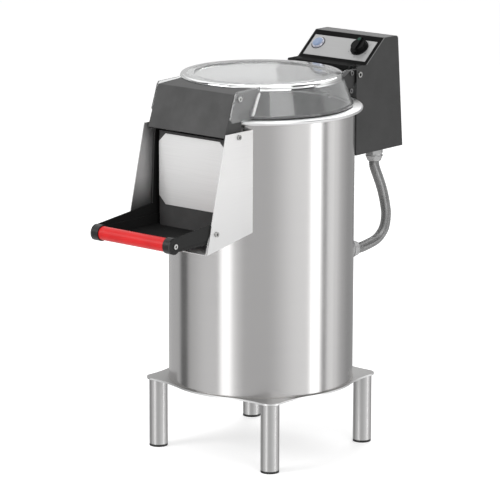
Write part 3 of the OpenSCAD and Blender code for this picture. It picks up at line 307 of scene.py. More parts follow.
def bumped(tree, skin, height, distance, strength, edge=0.0):
    inputs = {"Height": height, "Distance": distance, "Strength": strength}
    if edge:
        inputs["Normal"] = addNode(tree, "ShaderNodeBevel", {"Radius": edge}, samples=4).outputs[0]
    feed(tree, skin, "Normal", addNode(tree, "ShaderNodeBump", inputs).outputs[0])


def distanceFrom(tree, a, b, centre):
    a, b = mathNode(tree, "SUBTRACT", a, centre[0]), mathNode(tree, "SUBTRACT", b, centre[1])
    squares = mathNode(tree, "ADD", mathNode(tree, "MULTIPLY", a, a), mathNode(tree, "MULTIPLY", b, b))
    return mathNode(tree, "SQRT", squares)


def facingOut(tree):
    # 1 on a face that looks away from the middle plane, -1 on one that looks towards it
    across, facing = placeParts(tree)[0], placeParts(tree, "Normal")[0]
    return mathNode(tree, "MULTIPLY", mathNode(tree, "SIGN", across), facing)


# what all brushed steel shares: direction of the lines, their stretch, how much of the wear comes from lines
# and clouds, and where the marks darken
brushWear = {
    "rotation": 0.25, "across": 9, "lineDetail": 4.0, "clouds": 7.0, "cloudDetail": 2.0,
    "lineShare": 0.7, "cloudShare": 0.3, "markAt": 0.28, "clearAt": 0.62, "strength": 0.3,
}

brushed = {
    "drum": {
        "colour": 0.66, "tint": (1.0, 0.985, 0.98), "rough": (0.17, 0.25), "along": 0.55,
        "grain": 2500, "depth": 0.000008, "mark": 0.96, "turned": True,
        "inside": {"within": 0.1992, "rough": 0.42},  # duller than the outside
    },
    "facePlate": {
        "colour": 0.86, "tint": (1.0, 1.0, 0.995), "rough": (0.46, 0.56), "along": 0.4,
        "grain": 1900, "depth": 0.00001, "mark": 0.93, "metal": 0.7,
    },
    "sheet": {
        "colour": 0.97, "tint": (1.0, 0.995, 0.99), "rough": (0.44, 0.54), "along": 0.4,
        "grain": 1900, "depth": 0.00001, "mark": 0.95, "metal": 0.73,
        # painted shade: darker low down and on the faces towards the front; painted reflection of the dark door
        # on the inner faces, darkest at their foot
        "cheek": {
            "low": (0.46, 0.64), "lowLevel": 0.80, "front": -0.85, "frontLevel": 0.62,
            "innerBeyond": 0.09, "innerFacing": -0.5, "innerLevel": 0.54,
            "foot": (0.555, 0.62), "footLevel": 0.13},
    },
    "chuteFloor": {
        "colour": 0.97, "tint": (1.0, 0.995, 0.99), "rough": (0.44, 0.54), "along": 0.4,
        "grain": 1900, "depth": 0.00001, "mark": 0.95, "metal": 0.3,
    },
    "flange": {
        "colour": 0.81, "tint": (1.0, 1.0, 1.0), "rough": (0.36, 0.46), "along": 0.3,
        "grain": 1800, "depth": 0.00001, "mark": 0.95, "turned": True,
    },
    "tube": {
        "colour": 0.57, "tint": (1.0, 0.995, 0.99), "rough": (0.32, 0.38), "along": 0.3,
        "grain": 1600, "depth": 0.000002, "mark": 0.97,
    },
    "plate": {
        "colour": 0.295, "tint": (1.0, 0.99, 0.98), "rough": (0.3, 0.42), "along": 0.2,
        "grain": 1000, "depth": 0.00002, "mark": 0.92,
        "paintedEdgeLight": {"facing": 0.5, "level": 0.85},  # painted light: the plate's edges brighter than its faces, where they stand in shade
    },
    "weld": {
        "colour": 0.36, "tint": (1.0, 0.97, 0.93), "rough": (0.3, 0.5), "along": 0.0,
        "grain": 1200, "depth": 0.00003, "mark": 0.8,
    },
}


def duller(tree, rough, s):
    x, y, z = placeParts(tree)
    inside = mathNode(tree, "LESS_THAN", distanceFrom(tree, x, y, drumAxis), s["within"])
    return mathNode(tree, "MAXIMUM", rough, mathNode(tree, "MULTIPLY", inside, s["rough"]))


# painted light on the plate's edges, which face sideways and would stand in shade
def paintedEdgeLight(tree, colour, s):
    facing = mathNode(tree, "ABSOLUTE", placeParts(tree, "Normal")[2])
    return mixed(tree, mathNode(tree, "LESS_THAN", facing, s["facing"]), colour, grey(s["level"]))


# painted shade and painted reflection, mixed into the colour of the cheeks
def paintedCheekShade(tree, colour, s):
    across, _, height = placeParts(tree)
    low = spread(tree, height, 1.0, 0.0, *s["low"])
    front = mathNode(tree, "LESS_THAN", placeParts(tree, "Normal")[1], s["front"])
    inner = allOf(tree, mathNode(tree, "LESS_THAN", facingOut(tree), s["innerFacing"]),
                  mathNode(tree, "GREATER_THAN", mathNode(tree, "ABSOLUTE", across), s["innerBeyond"]))
    foot = allOf(tree, inner, spread(tree, height, 1.0, 0.0, *s["foot"]))
    for share, level in ((low, "lowLevel"), (front, "frontLevel"), (inner, "innerLevel"), (foot, "footLevel")):
        colour = mixed(tree, share, colour, grey(s[level]))
    return colour


def makeBrushed(name, s, b):
    base = [s["colour"] * t for t in s["tint"]] + [1]
    material, tree, skin = newFinish(name, {
        "Base Color": base, "Metallic": s.get("metal", 1.0),
        "Anisotropic": s["along"], "Anisotropic Rotation": b["rotation"]})
    lines = noiseOn(tree, 1.0, b["lineDetail"], stretch=(b["across"], b["across"], s["grain"]))
    clouds = noiseOn(tree, b["clouds"], b["cloudDetail"])
    wear = mathNode(tree, "ADD", mathNode(tree, "MULTIPLY", lines, b["lineShare"]),
                    mathNode(tree, "MULTIPLY", clouds, b["cloudShare"]))
    rough = spread(tree, wear, *s["rough"])
    colour = shades(tree, lines, (b["markAt"], scaled(base, s["mark"])), (b["clearAt"], base))
    if "inside" in s:
        rough = duller(tree, rough, s["inside"])
    if "paintedEdgeLight" in s:
        colour = paintedEdgeLight(tree, colour, s["paintedEdgeLight"])
    if "cheek" in s:
        colour = paintedCheekShade(tree, colour, s["cheek"])
    feed(tree, skin, "Roughness", rough)
    feed(tree, skin, "Base Color", colour)
    if s.get("turned"):
        tangent = addNode(tree, "ShaderNodeTangent", direction_type="RADIAL", axis="Z")
        feed(tree, skin, "Tangent", tangent.outputs[0])
    bumped(tree, skin, lines, s["depth"], b["strength"])
    return material


# what all paint, plastic and rubber shares: size of the clouds, and how far they go from the plain colour
paintWear = {
    "clouds": 16.0, "darker": 0.88, "darkAt": 0.3, "lighter": 1.18, "lightAt": 0.7,
    "grainRoughness": 0.6, "strength": 0.5,
}

painted = {
    "boxPaint": {
        "colour": 0.049, "rough": (0.42, 0.55), "scale": 900, "depth": 0.00006, "edge": 0.0012, "gloss": 0.3},
    # painted highlight of the folded edges, for the strips down the panel's sides
    "edgeHighlightPaint": {"colour": 0.20, "rough": (0.35, 0.45), "scale": 900, "depth": 0.00003},
    "panelPaint": {"colour": 0.013, "rough": (0.4, 0.5), "scale": 900, "depth": 0.00005, "gloss": 0.004},
    "hoodPaint": {
        "colour": 0.084, "rough": (0.55, 0.7), "scale": 700, "depth": 0.00005, "edge": 0.0010, "gloss": 0.1},
    "motorPaint": {"colour": 0.16, "rough": (0.4, 0.6), "scale": 260, "depth": 0.0002, "edge": 0.001},
    "doorMoulding": {
        "colour": 0.070, "rough": (0.42, 0.56), "scale": 1400, "depth": 0.00004, "edge": 0.0010, "gloss": 0.03,
        "tray": {"facing": 0.65, "armLevel": 0.040, "insideLevel": 0.018},  # painted shade: the outer faces of the arms and the inside of the tray both darker than the front
    },
    "blackPlastic": {"colour": 0.014, "rough": (0.36, 0.5), "scale": 1500, "depth": 0.00003, "edge": 0.0006},
    "collarPlastic": {
        "colour": 0.013, "rough": (0.34, 0.46), "scale": 1500, "depth": 0.00003, "edge": 0.0010, "gloss": 0.35},
    "knobPlastic": {
        "colour": 0.006, "rough": (0.22, 0.34), "scale": 1500, "depth": 0.00002, "edge": 0.0005, "gloss": 0.08},
    "greyPlastic": {"colour": 0.30, "rough": (0.4, 0.52), "scale": 900, "depth": 0.00004, "edge": 0.0006},
    "creamPlastic": {"colour": 0.55, "rough": (0.4, 0.52), "scale": 900, "depth": 0.00004, "edge": 0.0006},
    "sealRubber": {"colour": 0.025, "rough": (0.6, 0.75), "scale": 600, "depth": 0.00006, "edge": 0.0005},
    "beltRubber": {"colour": 0.018, "rough": (0.65, 0.8), "scale": 500, "depth": 0.0001, "edge": 0.0005},
    "dialInk": {"colour": 0.02, "rough": (0.4, 0.5), "scale": 900, "depth": 0.00001},
    "greenInk": {
        "colour": 0.065, "tint": (0.35, 1.0, 0.75), "rough": (0.4, 0.5), "scale": 900, "depth": 0.00001,
        "gloss": 0.1},
}


# painted shade: darker outer faces on the arms, darker floor and inner faces in the tray
def paintedTrayShade(tree, colour, s):
    outward, upward = facingOut(tree), placeParts(tree, "Normal")[2]
    arms = mathNode(tree, "GREATER_THAN", outward, s["facing"])
    level = mathNode(tree, "GREATER_THAN", mathNode(tree, "ABSOLUTE", upward), s["facing"])
    inside = mathNode(tree, "MAXIMUM", mathNode(tree, "LESS_THAN", outward, -s["facing"]), level)
    colour = mixed(tree, arms, colour, grey(s["armLevel"]))
    return mixed(tree, inside, colour, grey(s["insideLevel"]))


def makePainted(name, s, b):
    base = [s["colour"] * t for t in s.get("tint", (1.0, 1.0, 1.0))] + [1]
    material, tree, skin = newFinish(name, {"Base Color": base, "Specular IOR Level": s.get("gloss", 0.5)})
    grain = noiseOn(tree, s["scale"], 3.0, b["grainRoughness"])
    clouds = noiseOn(tree, b["clouds"])
    wear = mathNode(tree, "MULTIPLY", mathNode(tree, "ADD", grain, clouds), 0.5)
    feed(tree, skin, "Roughness", spread(tree, wear, *s["rough"]))
    dark, light = scaled(base, b["darker"]), scaled(base, b["lighter"])
    colour = shades(tree, clouds, (b["darkAt"], dark), (b["lightAt"], light))
    if "tray" in s:
        colour = paintedTrayShade(tree, colour, s["tray"])
    feed(tree, skin, "Base Color", colour)
    bumped(tree, skin, grain, s["depth"], b["strength"], s.get("edge", 0.0))
    return material


gripSettings = {
    "colour": (0.73, 0.010, 0.012, 1), "deep": (0.64, 0.007, 0.009, 1), "rough": (0.34, 0.46), "gloss": 0.35,
    "coat": 0.05, "coatRough": 0.3, "clouds": 22.0, "deepAt": 0.3, "colourAt": 0.65,
    "grain": 1300.0, "depth": 0.00003, "strength": 0.4, "edge": 0.001,
}


def makeGripPlastic(s):
    material, tree, skin = newFinish("gripPlastic", {
        "Base Color": s["colour"], "Specular IOR Level": s["gloss"],
        "Coat Weight": s["coat"], "Coat Roughness": s["coatRough"]})
    grain = noiseOn(tree, s["grain"], 2.0)
    clouds = noiseOn(tree, s["clouds"])
    colour = shades(tree, clouds, (s["deepAt"], s["deep"]), (s["colourAt"], s["colour"]))
    feed(tree, skin, "Base Color", colour)
    feed(tree, skin, "Roughness", spread(tree, grain, *s["rough"]))
    bumped(tree, skin, grain, s["depth"], s["strength"], s["edge"])
    return material


clearSettings = {
    "colour": (0.87, 0.875, 0.875, 1), "rough": 0.075, "index": 1.49, "clear": 0.925,
    "shade": (0.90, 0.91, 0.91, 1),  # of the shadow that it lets through
    "clouds": 9.0, "depth": 0.0004, "strength": 0.06,
    # the moulded bead round the top is polished until it mirrors
    "rimWithin": (0.160, 0.1755), "rimAbove": 0.8085, "rimGloss": 0.9,
}


def makeClearPlastic(s):
    material, tree, skin = newFinish("clearPlastic", {
        "Base Color": s["colour"], "Roughness": s["rough"], "IOR": s["index"],
        "Transmission Weight": s["clear"]})
    bumped(tree, skin, noiseOn(tree, s["clouds"], 2.0), s["depth"], s["strength"])
    x, y, z = placeParts(tree)
    out = distanceFrom(tree, x, y, drumAxis)
    rim = allOf(tree, mathNode(tree, "GREATER_THAN", z, s["rimAbove"]),
                mathNode(tree, "GREATER_THAN", out, s["rimWithin"][0]),
                mathNode(tree, "LESS_THAN", out, s["rimWithin"][1]))
    feed(tree, skin, "Metallic", mathNode(tree, "MULTIPLY", rim, s["rimGloss"]))
    ray = addNode(tree, "ShaderNodeLightPath")
    through = addNode(tree, "ShaderNodeBsdfTransparent", {"Color": s["shade"]})
    mix = addNode(tree, "ShaderNodeMixShader", {
        0: ray.outputs["Is Shadow Ray"], 1: skin.outputs[0], 2: through.outputs[0]})
    tree.links.new(mix.outputs[0], tree.nodes["Material Output"].inputs["Surface"])
    return material


# painted highlight: near-opaque white for the fillets where the lid's nose meets the clear dome, standing in
# for the light along those clear edges
filletHighlightSettings = {
    "colour": (0.99, 0.99, 0.99, 1), "rough": (0.12, 0.2), "clear": 0.05, "index": 1.49,
    "coat": 0.5, "coatRough": 0.08, "clouds": 160.0, "depth": 0.0001, "strength": 0.3,
}


def makeFilletHighlight(s):
    material, tree, skin = newFinish("clearBead", {
        "Base Color": s["colour"], "Transmission Weight": s["clear"], "IOR": s["index"],
        "Coat Weight": s["coat"], "Coat Roughness": s["coatRough"]})
    clouds = noiseOn(tree, s["clouds"], 2.0)
    feed(tree, skin, "Roughness", spread(tree, clouds, *s["rough"]))
    bumped(tree, skin, clouds, s["depth"], s["strength"])
    return material


buttonSettings = {
    "colour": (0.20, 0.27, 0.42, 1), "pale": (0.28, 0.36, 0.52, 1), "rough": (0.18, 0.3),
    "coat": 0.4, "coatRough": 0.1, "clouds": 90.0, "colourAt": 0.35, "paleAt": 0.7,
    "depth": 0.00003, "strength": 0.3, "edge": 0.0006,
}


def makeButtonPlastic(s):
    material, tree, skin = newFinish("buttonPlastic", {
        "Base Color": s["colour"], "Coat Weight": s["coat"], "Coat Roughness": s["coatRough"]})
    clouds = noiseOn(tree, s["clouds"], 2.0)
    colour = shades(tree, clouds, (s["colourAt"], s["colour"]), (s["paleAt"], s["pale"]))
    feed(tree, skin, "Base Color", colour)
    feed(tree, skin, "Roughness", spread(tree, clouds, *s["rough"]))
    bumped(tree, skin, clouds, s["depth"], s["strength"], s["edge"])
    return material


# what both coats of grit share
gritWear = {
    "plainRough": 0.85, "rough": (0.6, 0.95), "clouds": 30.0, "cloudDetail": 4.0, "sparkle": 2.0,
    "darkAt": 0.15, "lightAt": 0.6, "strength": 0.9,
}

grits = {
    "linerGrit": {"dark": 0.025, "light": 0.16, "size": 520, "depth": 0.0012},
    "discGrit": {"dark": 0.015, "light": 0.11, "size": 420, "depth": 0.0016},
}


def makeGrit(name, s, b):
    material, tree, skin = newFinish(name, {"Base Color": grey(s["dark"]), "Roughness": b["plainRough"]})
    stones = addNode(tree, "ShaderNodeTexVoronoi", {
        "Vector": objectPlace(tree), "Scale": s["size"]}, feature="F1")
    tops = mathNode(tree, "SUBTRACT", 1.0, stones.outputs["Distance"])
    tone = mathNode(tree, "MULTIPLY", tops, noiseOn(tree, b["clouds"], b["cloudDetail"]))
    colour = shades(tree, tone, (b["darkAt"], grey(s["dark"])), (b["lightAt"], grey(s["light"])))
    feed(tree, skin, "Base Color", colour)
    sparkle = noiseOn(tree, b["sparkle"] * s["size"], 2.0)
    feed(tree, skin, "Roughness", spread(tree, sparkle, *b["rough"]))
    bumped(tree, skin, tops, s["depth"], b["strength"])
    return material


# what all bare metal shares: size of the clouds, how dark they get, and the painted shade in the recesses
metalWear = {
    "clouds": 40.0, "darker": 0.8, "darkAt": 0.3, "clearAt": 0.62, "grainRoughness": 0.6, "strength": 0.5,
    "grime": {"level": 0.02, "open": (0.35, 0.9), "samples": 8},
}

metals = {
    "castAlloy": {
        "colour": (0.52, 0.52, 0.51, 1), "rough": (0.42, 0.62), "scale": 420, "depth": 0.0002, "edge": 0.0008},
    "castIron": {
        "colour": (0.16, 0.155, 0.15, 1), "rough": (0.45, 0.65), "scale": 420, "depth": 0.0002, "edge": 0.0006},
    "hingeSteel": {
        "colour": (0.42, 0.42, 0.41, 1), "rough": (0.24, 0.36), "scale": 900, "depth": 0.00002, "edge": 0.0004,
        # painted shade: a dark disc on the drilled centre in either end of the rod
        "centre": {"axis": (0.240, 0.7995), "radius": 0.0034, "beyond": 0.0965, "level": 0.03},
    },
    "groundSteel": {
        "colour": (0.72, 0.72, 0.71, 1), "rough": (0.18, 0.3), "scale": 900, "depth": 0.00002, "edge": 0.0004},
    "screwZinc": {
        "colour": (0.50, 0.50, 0.49, 1), "rough": (0.24, 0.4), "scale": 700, "depth": 0.00004, "edge": 0.0004,
        "recess": 0.0022},
    "boltZinc": {
        "colour": (0.22, 0.22, 0.22, 1), "rough": (0.3, 0.44), "scale": 700, "depth": 0.00004, "edge": 0.0004,
        "recess": 0.0022},
    "pinZinc": {
        "colour": (0.74, 0.74, 0.73, 1), "rough": (0.24, 0.4), "scale": 700, "depth": 0.00004, "edge": 0.0004,
        "recess": 0.0022},
    "bezelMetal": {
        "colour": (0.80, 0.81, 0.92, 1), "rough": (0.2, 0.3), "scale": 900, "depth": 0.00002, "edge": 0.0005,
        "metal": 0.5},
    "hoseMetal": {
        "colour": (0.29, 0.29, 0.29, 1), "rough": (0.22, 0.3), "scale": 900, "depth": 0.00002, "metal": 0.7},
    "glandNickel": {
        "colour": (0.52, 0.52, 0.52, 1), "rough": (0.34, 0.48), "scale": 700, "depth": 0.00004, "edge": 0.0006,
        "metal": 0.75},
    "brassNickel": {
        "colour": (0.70, 0.66, 0.58, 1), "rough": (0.2, 0.34), "scale": 700, "depth": 0.00004, "edge": 0.0004},
}


def grimed(tree, colour, recess, s):
    # painted shade: darker in the sockets and round the heads, wherever ambient occlusion finds a hollow
    hollow = addNode(tree, "ShaderNodeAmbientOcclusion", {"Distance": recess}, samples=s["samples"])
    unshaded = spread(tree, hollow.outputs["AO"], 0.0, 1.0, *s["open"])
    return mixed(tree, unshaded, grey(s["level"]), colour)


# painted shade: a dark disc where the drilled centre of the rod lies in shade
def drilled(tree, colour, s):
    x, y, z = placeParts(tree)
    hole = allOf(tree, mathNode(tree, "LESS_THAN", distanceFrom(tree, y, z, s["axis"]), s["radius"]),
                 mathNode(tree, "GREATER_THAN", mathNode(tree, "ABSOLUTE", x), s["beyond"]))
    return mixed(tree, hole, colour, grey(s["level"]))


def makeMetal(name, s, b):
    material, tree, skin = newFinish(name, {"Base Color": s["colour"], "Metallic": s.get("metal", 1.0)})
    grain = noiseOn(tree, s["scale"], 3.0, b["grainRoughness"])
    clouds = noiseOn(tree, b["clouds"])
    dark = scaled(s["colour"], b["darker"])
    colour = shades(tree, clouds, (b["darkAt"], dark), (b["clearAt"], s["colour"]))
    if "recess" in s:
        colour = grimed(tree, colour, s["recess"], b["grime"])
    if "centre" in s:
        colour = drilled(tree, colour, s["centre"])
    feed(tree, skin, "Base Color", colour)
    feed(tree, skin, "Roughness", spread(tree, grain, *s["rough"]))
    bumped(tree, skin, grain, s["depth"], b["strength"], s.get("edge", 0.0))
    return material


labelSettings = {
    "colour": 0.43, "rough": (0.38, 0.5), "grain": 1500, "along": 14, "metal": 0.35,
    "mark": 0.9, "markAt": 0.3, "clearAt": 0.65,
    "coat": 0.3, "coatRough": 0.3, "depth": 0.00001, "strength": 0.3, "edge": 0.0003,
}


def makeLabelFilm(s):
    material, tree, skin = newFinish("labelFilm", {
        "Base Color": grey(s["colour"]), "Metallic": s["metal"],
        "Coat Weight": s["coat"], "Coat Roughness": s["coatRough"]})
    lines = noiseOn(tree, 1.0, stretch=(s["along"], s["grain"], s["grain"]))
    feed(tree, skin, "Roughness", spread(tree, lines, *s["rough"]))
    mark, clear = grey(s["mark"] * s["colour"]), grey(s["colour"])
    colour = shades(tree, lines, (s["markAt"], mark), (s["clearAt"], clear))
    feed(tree, skin, "Base Color", colour)
    bumped(tree, skin, lines, s["depth"], s["strength"], s["edge"])
    return material


finishes = {name: makeBrushed(name, s, brushWear) for name, s in brushed.items()}
finishes.update({name: makePainted(name, s, paintWear) for name, s in painted.items()})
finishes.update({name: makeGrit(name, s, gritWear) for name, s in grits.items()})
finishes.update({name: makeMetal(name, s, metalWear) for name, s in metals.items()})
finishes["gripPlastic"] = makeGripPlastic(gripSettings)
finishes["clearPlastic"] = makeClearPlastic(clearSettings)
finishes["clearBead"] = makeFilletHighlight(filletHighlightSettings)
finishes["buttonPlastic"] = makeButtonPlastic(buttonSettings)
finishes["labelFilm"] = makeLabelFilm(labelSettings)
print("stage 3:", len(finishes), "finishes")

coats = {
    "drum": ["drum_shell", "mouth_collar", "chamber_floor"],
    "flange": ["top_flange"],
    "sheet": ["right_cheek", "left_cheek"],
    "chuteFloor": ["chute_floor"],
    "facePlate": ["door_face_plate"],
    "plate": ["base_plate", "motor_plate", "box_bracket", "drain_outlet"],
    "tube": ["leg_tubes"],
    "boxPaint": ["control_box", "box_rear_cover"],
    "hoodPaint": ["hood"],
    "motorPaint": ["motor"],
    "doorMoulding": ["door_body"],
    "collarPlastic": ["handle_end_caps"],
    "blackPlastic": ["leg_end_caps", "lid_hinge_arms", "lid_switch", "contactor"],
    "knobPlastic": ["timer_knob"],
    "greyPlastic": ["timer_unit"],
    "glandNickel": ["conduit_glands"],
    "hoseMetal": ["conduit"],
    "bezelMetal": ["button_bezel"],
    "creamPlastic": ["terminal_block", "motor_capacitor"],
    "sealRubber": ["door_gasket", "lid_seal", "shaft_seal"],
    "beltRubber": ["drive_belt"],
    "gripPlastic": ["handle_grip"],
    "clearPlastic": ["lid_dome"],
    "buttonPlastic": ["start_button"],
    "linerGrit": ["abrasive_liner"],
    "discGrit": ["disc_abrasive"],
    "castAlloy": ["bearing_housing", "disc_plate", "driven_pulley"],
    "castIron": ["motor_pulley"],
    "groundSteel": ["main_shaft", "motor_shaft", "shaft_bearings", "timer_spindle"],
    "hingeSteel": ["lid_hinge_pin"],
    "screwZinc": [
        "cheek_screws", "door_hinge_pins", "box_screws",
        "levelling_foot_front_right", "levelling_foot_front_left", "levelling_foot_rear_right",
        "levelling_foot_rear_left"],
    "boltZinc": ["lid_arm_screws"],
    "pinZinc": ["handle_screws", "hood_screws"],
    "brassNickel": ["water_inlet"],
    "labelFilm": ["label_plate"],
}
for coat, members in coats.items():
    for member in members:
        mesh = nodes[member].data
        mesh.materials.clear()
        mesh.materials.append(finishes[coat])
bare = sorted(set(nodes) - {member for members in coats.values() for member in members})
print("stage 4: finishes given, bare nodes:", bare)

# places below are in millimetres, from the foot of the drum's axis
panel = {"foot": (240, 817), "lean": math.atan2(53, 63)}


def here(x, y, z):
    return drumAxis + Vector((x, y, z)) * mm


def onPanel(x, along, out):
    # across the sloping panel, up along it from its foot, and out from it
    c, d = math.cos(panel["lean"]), math.sin(panel["lean"])
    return here(x, panel["foot"][0] + along * c - out * d, panel["foot"][1] + along * d + out * c)


def addPiece(name, points, faces, s):
    mesh = bpy.data.meshes.new(name)
    mesh.from_pydata([tuple(p) for p in points], [], faces)
    mesh.materials.append(finishes[s["finish"]])
    for face in mesh.polygons:
        face.use_smooth = s.get("smooth", True)
    piece = bpy.data.objects.new(name, mesh)
    bpy.context.scene.collection.objects.link(piece)
    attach(piece, s["body"])
    return piece


def smoothLine(points, step):
    # a smooth curve through the points, cut into even steps
    line = []
    ends = [2 * points[0] - points[1]] + points + [2 * points[-1] - points[-2]]
    for a, b, c, d in zip(ends, ends[1:], ends[2:], ends[3:]):
        square, cube = 2 * a - 5 * b + 4 * c - d, 3 * b - a - 3 * c + d
        count = max(1, round((c - b).length / step))
        for n in range(count):
            t = n / count
            line.append(0.5 * (2 * b + (c - a) * t + square * t ** 2 + cube * t ** 3))
    line.append(points[-1])
    return line


def ringFaces(low, high, sides):
    # the faces between two rings of points, from the first point of each
    return [(low + k, low + (k + 1) % sides, high + (k + 1) % sides, high + k) for k in range(sides)]


def turns(count):
    return [2 * math.pi * n / count for n in range(count)]


def sweep(line, radii, sides, closed=False):
    points, faces = [], []
    count = len(line)
    side = None
    for n, centre in enumerate(line):
        ahead = line[(n + 1) % count] if closed or n + 1 < count else centre
        behind = line[n - 1] if closed or n else centre
        along = (ahead - behind).normalized()
        side = along.orthogonal() if side is None else side
        side = (side - along * side.dot(along)).normalized()
        over = along.cross(side)
        points += [centre + (side * math.cos(turn) + over * math.sin(turn)) * radii[n] for turn in turns(sides)]
    for n in range(count if closed else count - 1):
        faces += ringFaces(n * sides, (n + 1) % count * sides, sides)
    if not closed:
        faces.append(tuple(range(sides - 1, -1, -1)))
        faces.append(tuple(range((count - 1) * sides, count * sides)))
    return points, faces


hoseSettings = {
    "finish": "hoseMetal", "body": "machine", "slot": "conduit_metal",
    "radius": 11.5, "pitch": 3.3, "groove": 0.9, "crest": 0.7, "step": 0.55, "sides": 24,
    "every": 5,  # steps between the points that the cord's path keeps
    "route": [
        (102.34, 192.48, 418), (107.51, 202.20, 418), (107, 219, 418.5), (103, 236, 418.5), (99, 254, 419),
        (96, 272, 420.5), (93, 290, 424), (90, 305, 430), (88, 318, 439), (86, 326, 450), (84, 331, 462),
        (83, 332.5, 476), (81, 332, 490), (79, 330, 506), (77, 326, 524), (75, 321, 540), (73, 315, 556),
        (71, 309, 571), (70, 304.6, 583), (70, 304, 592), (70, 304, 603)],
}


def makeHose(s):
    line = smoothLine([here(*p) for p in s["route"]], s["step"] * mm)
    gone, radii = 0.0, []
    for n, point in enumerate(line):
        gone += (point - line[n - 1]).length if n else 0.0
        wave = 0.5 - 0.5 * math.cos(2 * math.pi * gone / (s["pitch"] * mm))
        radii.append((s["radius"] - s["groove"] * (1 - wave ** s["crest"])) * mm)
    hose = addPiece("hose", *sweep(line, radii, s["sides"]), s)
    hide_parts("conduit")
    print("hose length", round(gone, 4))


skinSettings = {
    "finish": "panelPaint", "body": "machine", "slot": "black_metal", "smooth": False,
    "thick": 0.35, "out": 0.05,
    "across": [-95, -86.9, -74.5, 74.5, 86.9, 95],
    "ledge": [(204.95, 811.2), (204.95, 817.05), (231.5, 817.05), (239.98, 817.05)],
    "slope": [7.6, 66.9, 80.8],
    "ledgeOnly": {"rows": (0, 1), "columns": (2,)},   # between the ears of the box
    "label": {"rows": (4,), "columns": (1, 2, 3)},    # left open for the label plate
}


def makePanelSkin(s):
    lines = [[here(x, y, z) for x in s["across"]] for y, z in s["ledge"]]
    lines += [[onPanel(x, along, s["out"]) for x in s["across"]] for along in s["slope"]]
    points = [p for line in lines for p in line]
    wide = len(s["across"])
    faces = []
    for n in range(len(lines) - 1):
        for k in range(wide - 1):
            overLabel = n in s["label"]["rows"] and k in s["label"]["columns"]
            pastLedge = n in s["ledgeOnly"]["rows"] and k not in s["ledgeOnly"]["columns"]
            if not overLabel and not pastLedge:
                a = n * wide + k
                faces.append((a, a + 1, a + wide + 1, a + wide))
    used = sorted({v for face in faces for v in face})
    faces = [tuple(used.index(v) for v in face) for face in faces]
    skin = addPiece("panelSkin", [points[v] for v in used], faces, s)
    solid = skin.modifiers.new("thickness", "SOLIDIFY")
    solid.thickness, solid.offset, solid.use_even_offset = s["thick"] * mm, 1.0, True


# painted highlight: a lighter strip down each side of the panel, where the folded edge of the side sheet
# catches the light
edgeSettings = {
    "finish": "edgeHighlightPaint", "body": "machine", "slot": "grey_box", "smooth": False,
    "across": (95.2, 96.7), "along": (1.0, 81.0), "out": (0.0, 0.35),
}


def makePanelEdge(s, name, side):
    corners = [(x, along) for along in s["along"] for x in s["across"]]
    points = [onPanel(side * x, along, out) for out in s["out"] for x, along in corners]
    faces = [(0, 2, 3, 1), (4, 5, 7, 6), (0, 1, 5, 4), (1, 3, 7, 5), (3, 2, 6, 7), (2, 0, 4, 6)]
    if side < 0:
        faces = [tuple(reversed(face)) for face in faces]
    addPiece(name, points, faces, s)


dialSettings = {
    "finish": "dialInk", "body": "machine", "slot": "label_metal", "smooth": False,
    "centre": (51, 43.5), "ticks": (21.9, 22.9), "tickWidth": 0.45, "tickEvery": 30, "tickTo": 300,
    "numbers": [("1", 60), ("2", 120), ("3", 180), ("4", 240)], "numberAt": 26.5, "numberHigh": 4.6,
    "out": 1.06, "thick": 0.08,
}


def flatNumber(text, high):
    font = bpy.data.curves.new("number", "FONT")
    font.body, font.size, font.align_x, font.align_y = text, high, "CENTER", "CENTER"
    letter = bpy.data.objects.new("number", font)
    bpy.context.scene.collection.objects.link(letter)
    bpy.context.view_layer.update()
    flat = bpy.data.meshes.new_from_object(letter.evaluated_get(bpy.context.evaluated_depsgraph_get()))
    corners = [(v.co.x, v.co.y) for v in flat.vertices]
    faces = [tuple(face.vertices) for face in flat.polygons]
    bpy.data.objects.remove(letter)
    bpy.data.curves.remove(font)
    bpy.data.meshes.remove(flat)
    return corners, faces


def makeDialPrint(s):
    bm = bmesh.new()
    middle, along = s["centre"]

    def corner(x, y):
        return bm.verts.new(onPanel(middle + x, along + y, s["out"]))

    near, far = s["ticks"]
    for degrees in range(0, s["tickTo"] + 1, s["tickEvery"]):
        turn = math.radians(degrees)
        out, side = Vector((math.sin(turn), math.cos(turn))), Vector((math.cos(turn), -math.sin(turn)))
        side *= s["tickWidth"] / 2
        bm.faces.new([corner(*(out * r + side * w)) for r, w in ((near, -1), (near, 1), (far, 1), (far, -1))])
    for text, degrees in s["numbers"]:
        turn = math.radians(degrees)
        corners, faces = flatNumber(text, s["numberHigh"])
        corners = [corner(x + s["numberAt"] * math.sin(turn), y + s["numberAt"] * math.cos(turn))
                   for x, y in corners]
        for face in faces:
            bm.faces.new([corners[v] for v in face])
    bmesh.ops.recalc_face_normals(bm, faces=bm.faces)
    points = [v.co.copy() for v in bm.verts]
    bm.verts.index_update()
    faces = [tuple(v.index for v in face.verts) for face in bm.faces]
    bm.free()
    ink = addPiece("dialPrint", points, faces, s)
    solid = ink.modifiers.new("thickness", "SOLIDIFY")
    solid.thickness, solid.offset = s["thick"] * mm, 0.0


def panelRings(s):
    # each ring is a radius and how far out of the panel it stands
    x, along = s["centre"]
    return [onPanel(x + radius * math.cos(turn), along + radius * math.sin(turn), out)
            for radius, out in s["rings"] for turn in turns(s["sides"])]


# a black ring under the button's bezel: a seal, and painted shade for the dark crescent under the bezel's lower
# edge
sealSettings = {
    "finish": "sealRubber", "body": "machine", "slot": "rubber", "centre": (-65, 43.5), "sides": 64,
    "rings": ((15.3, 1.02), (16.6, 1.02), (16.6, 1.5), (16.1, 1.9), (15.3, 1.9)),
}


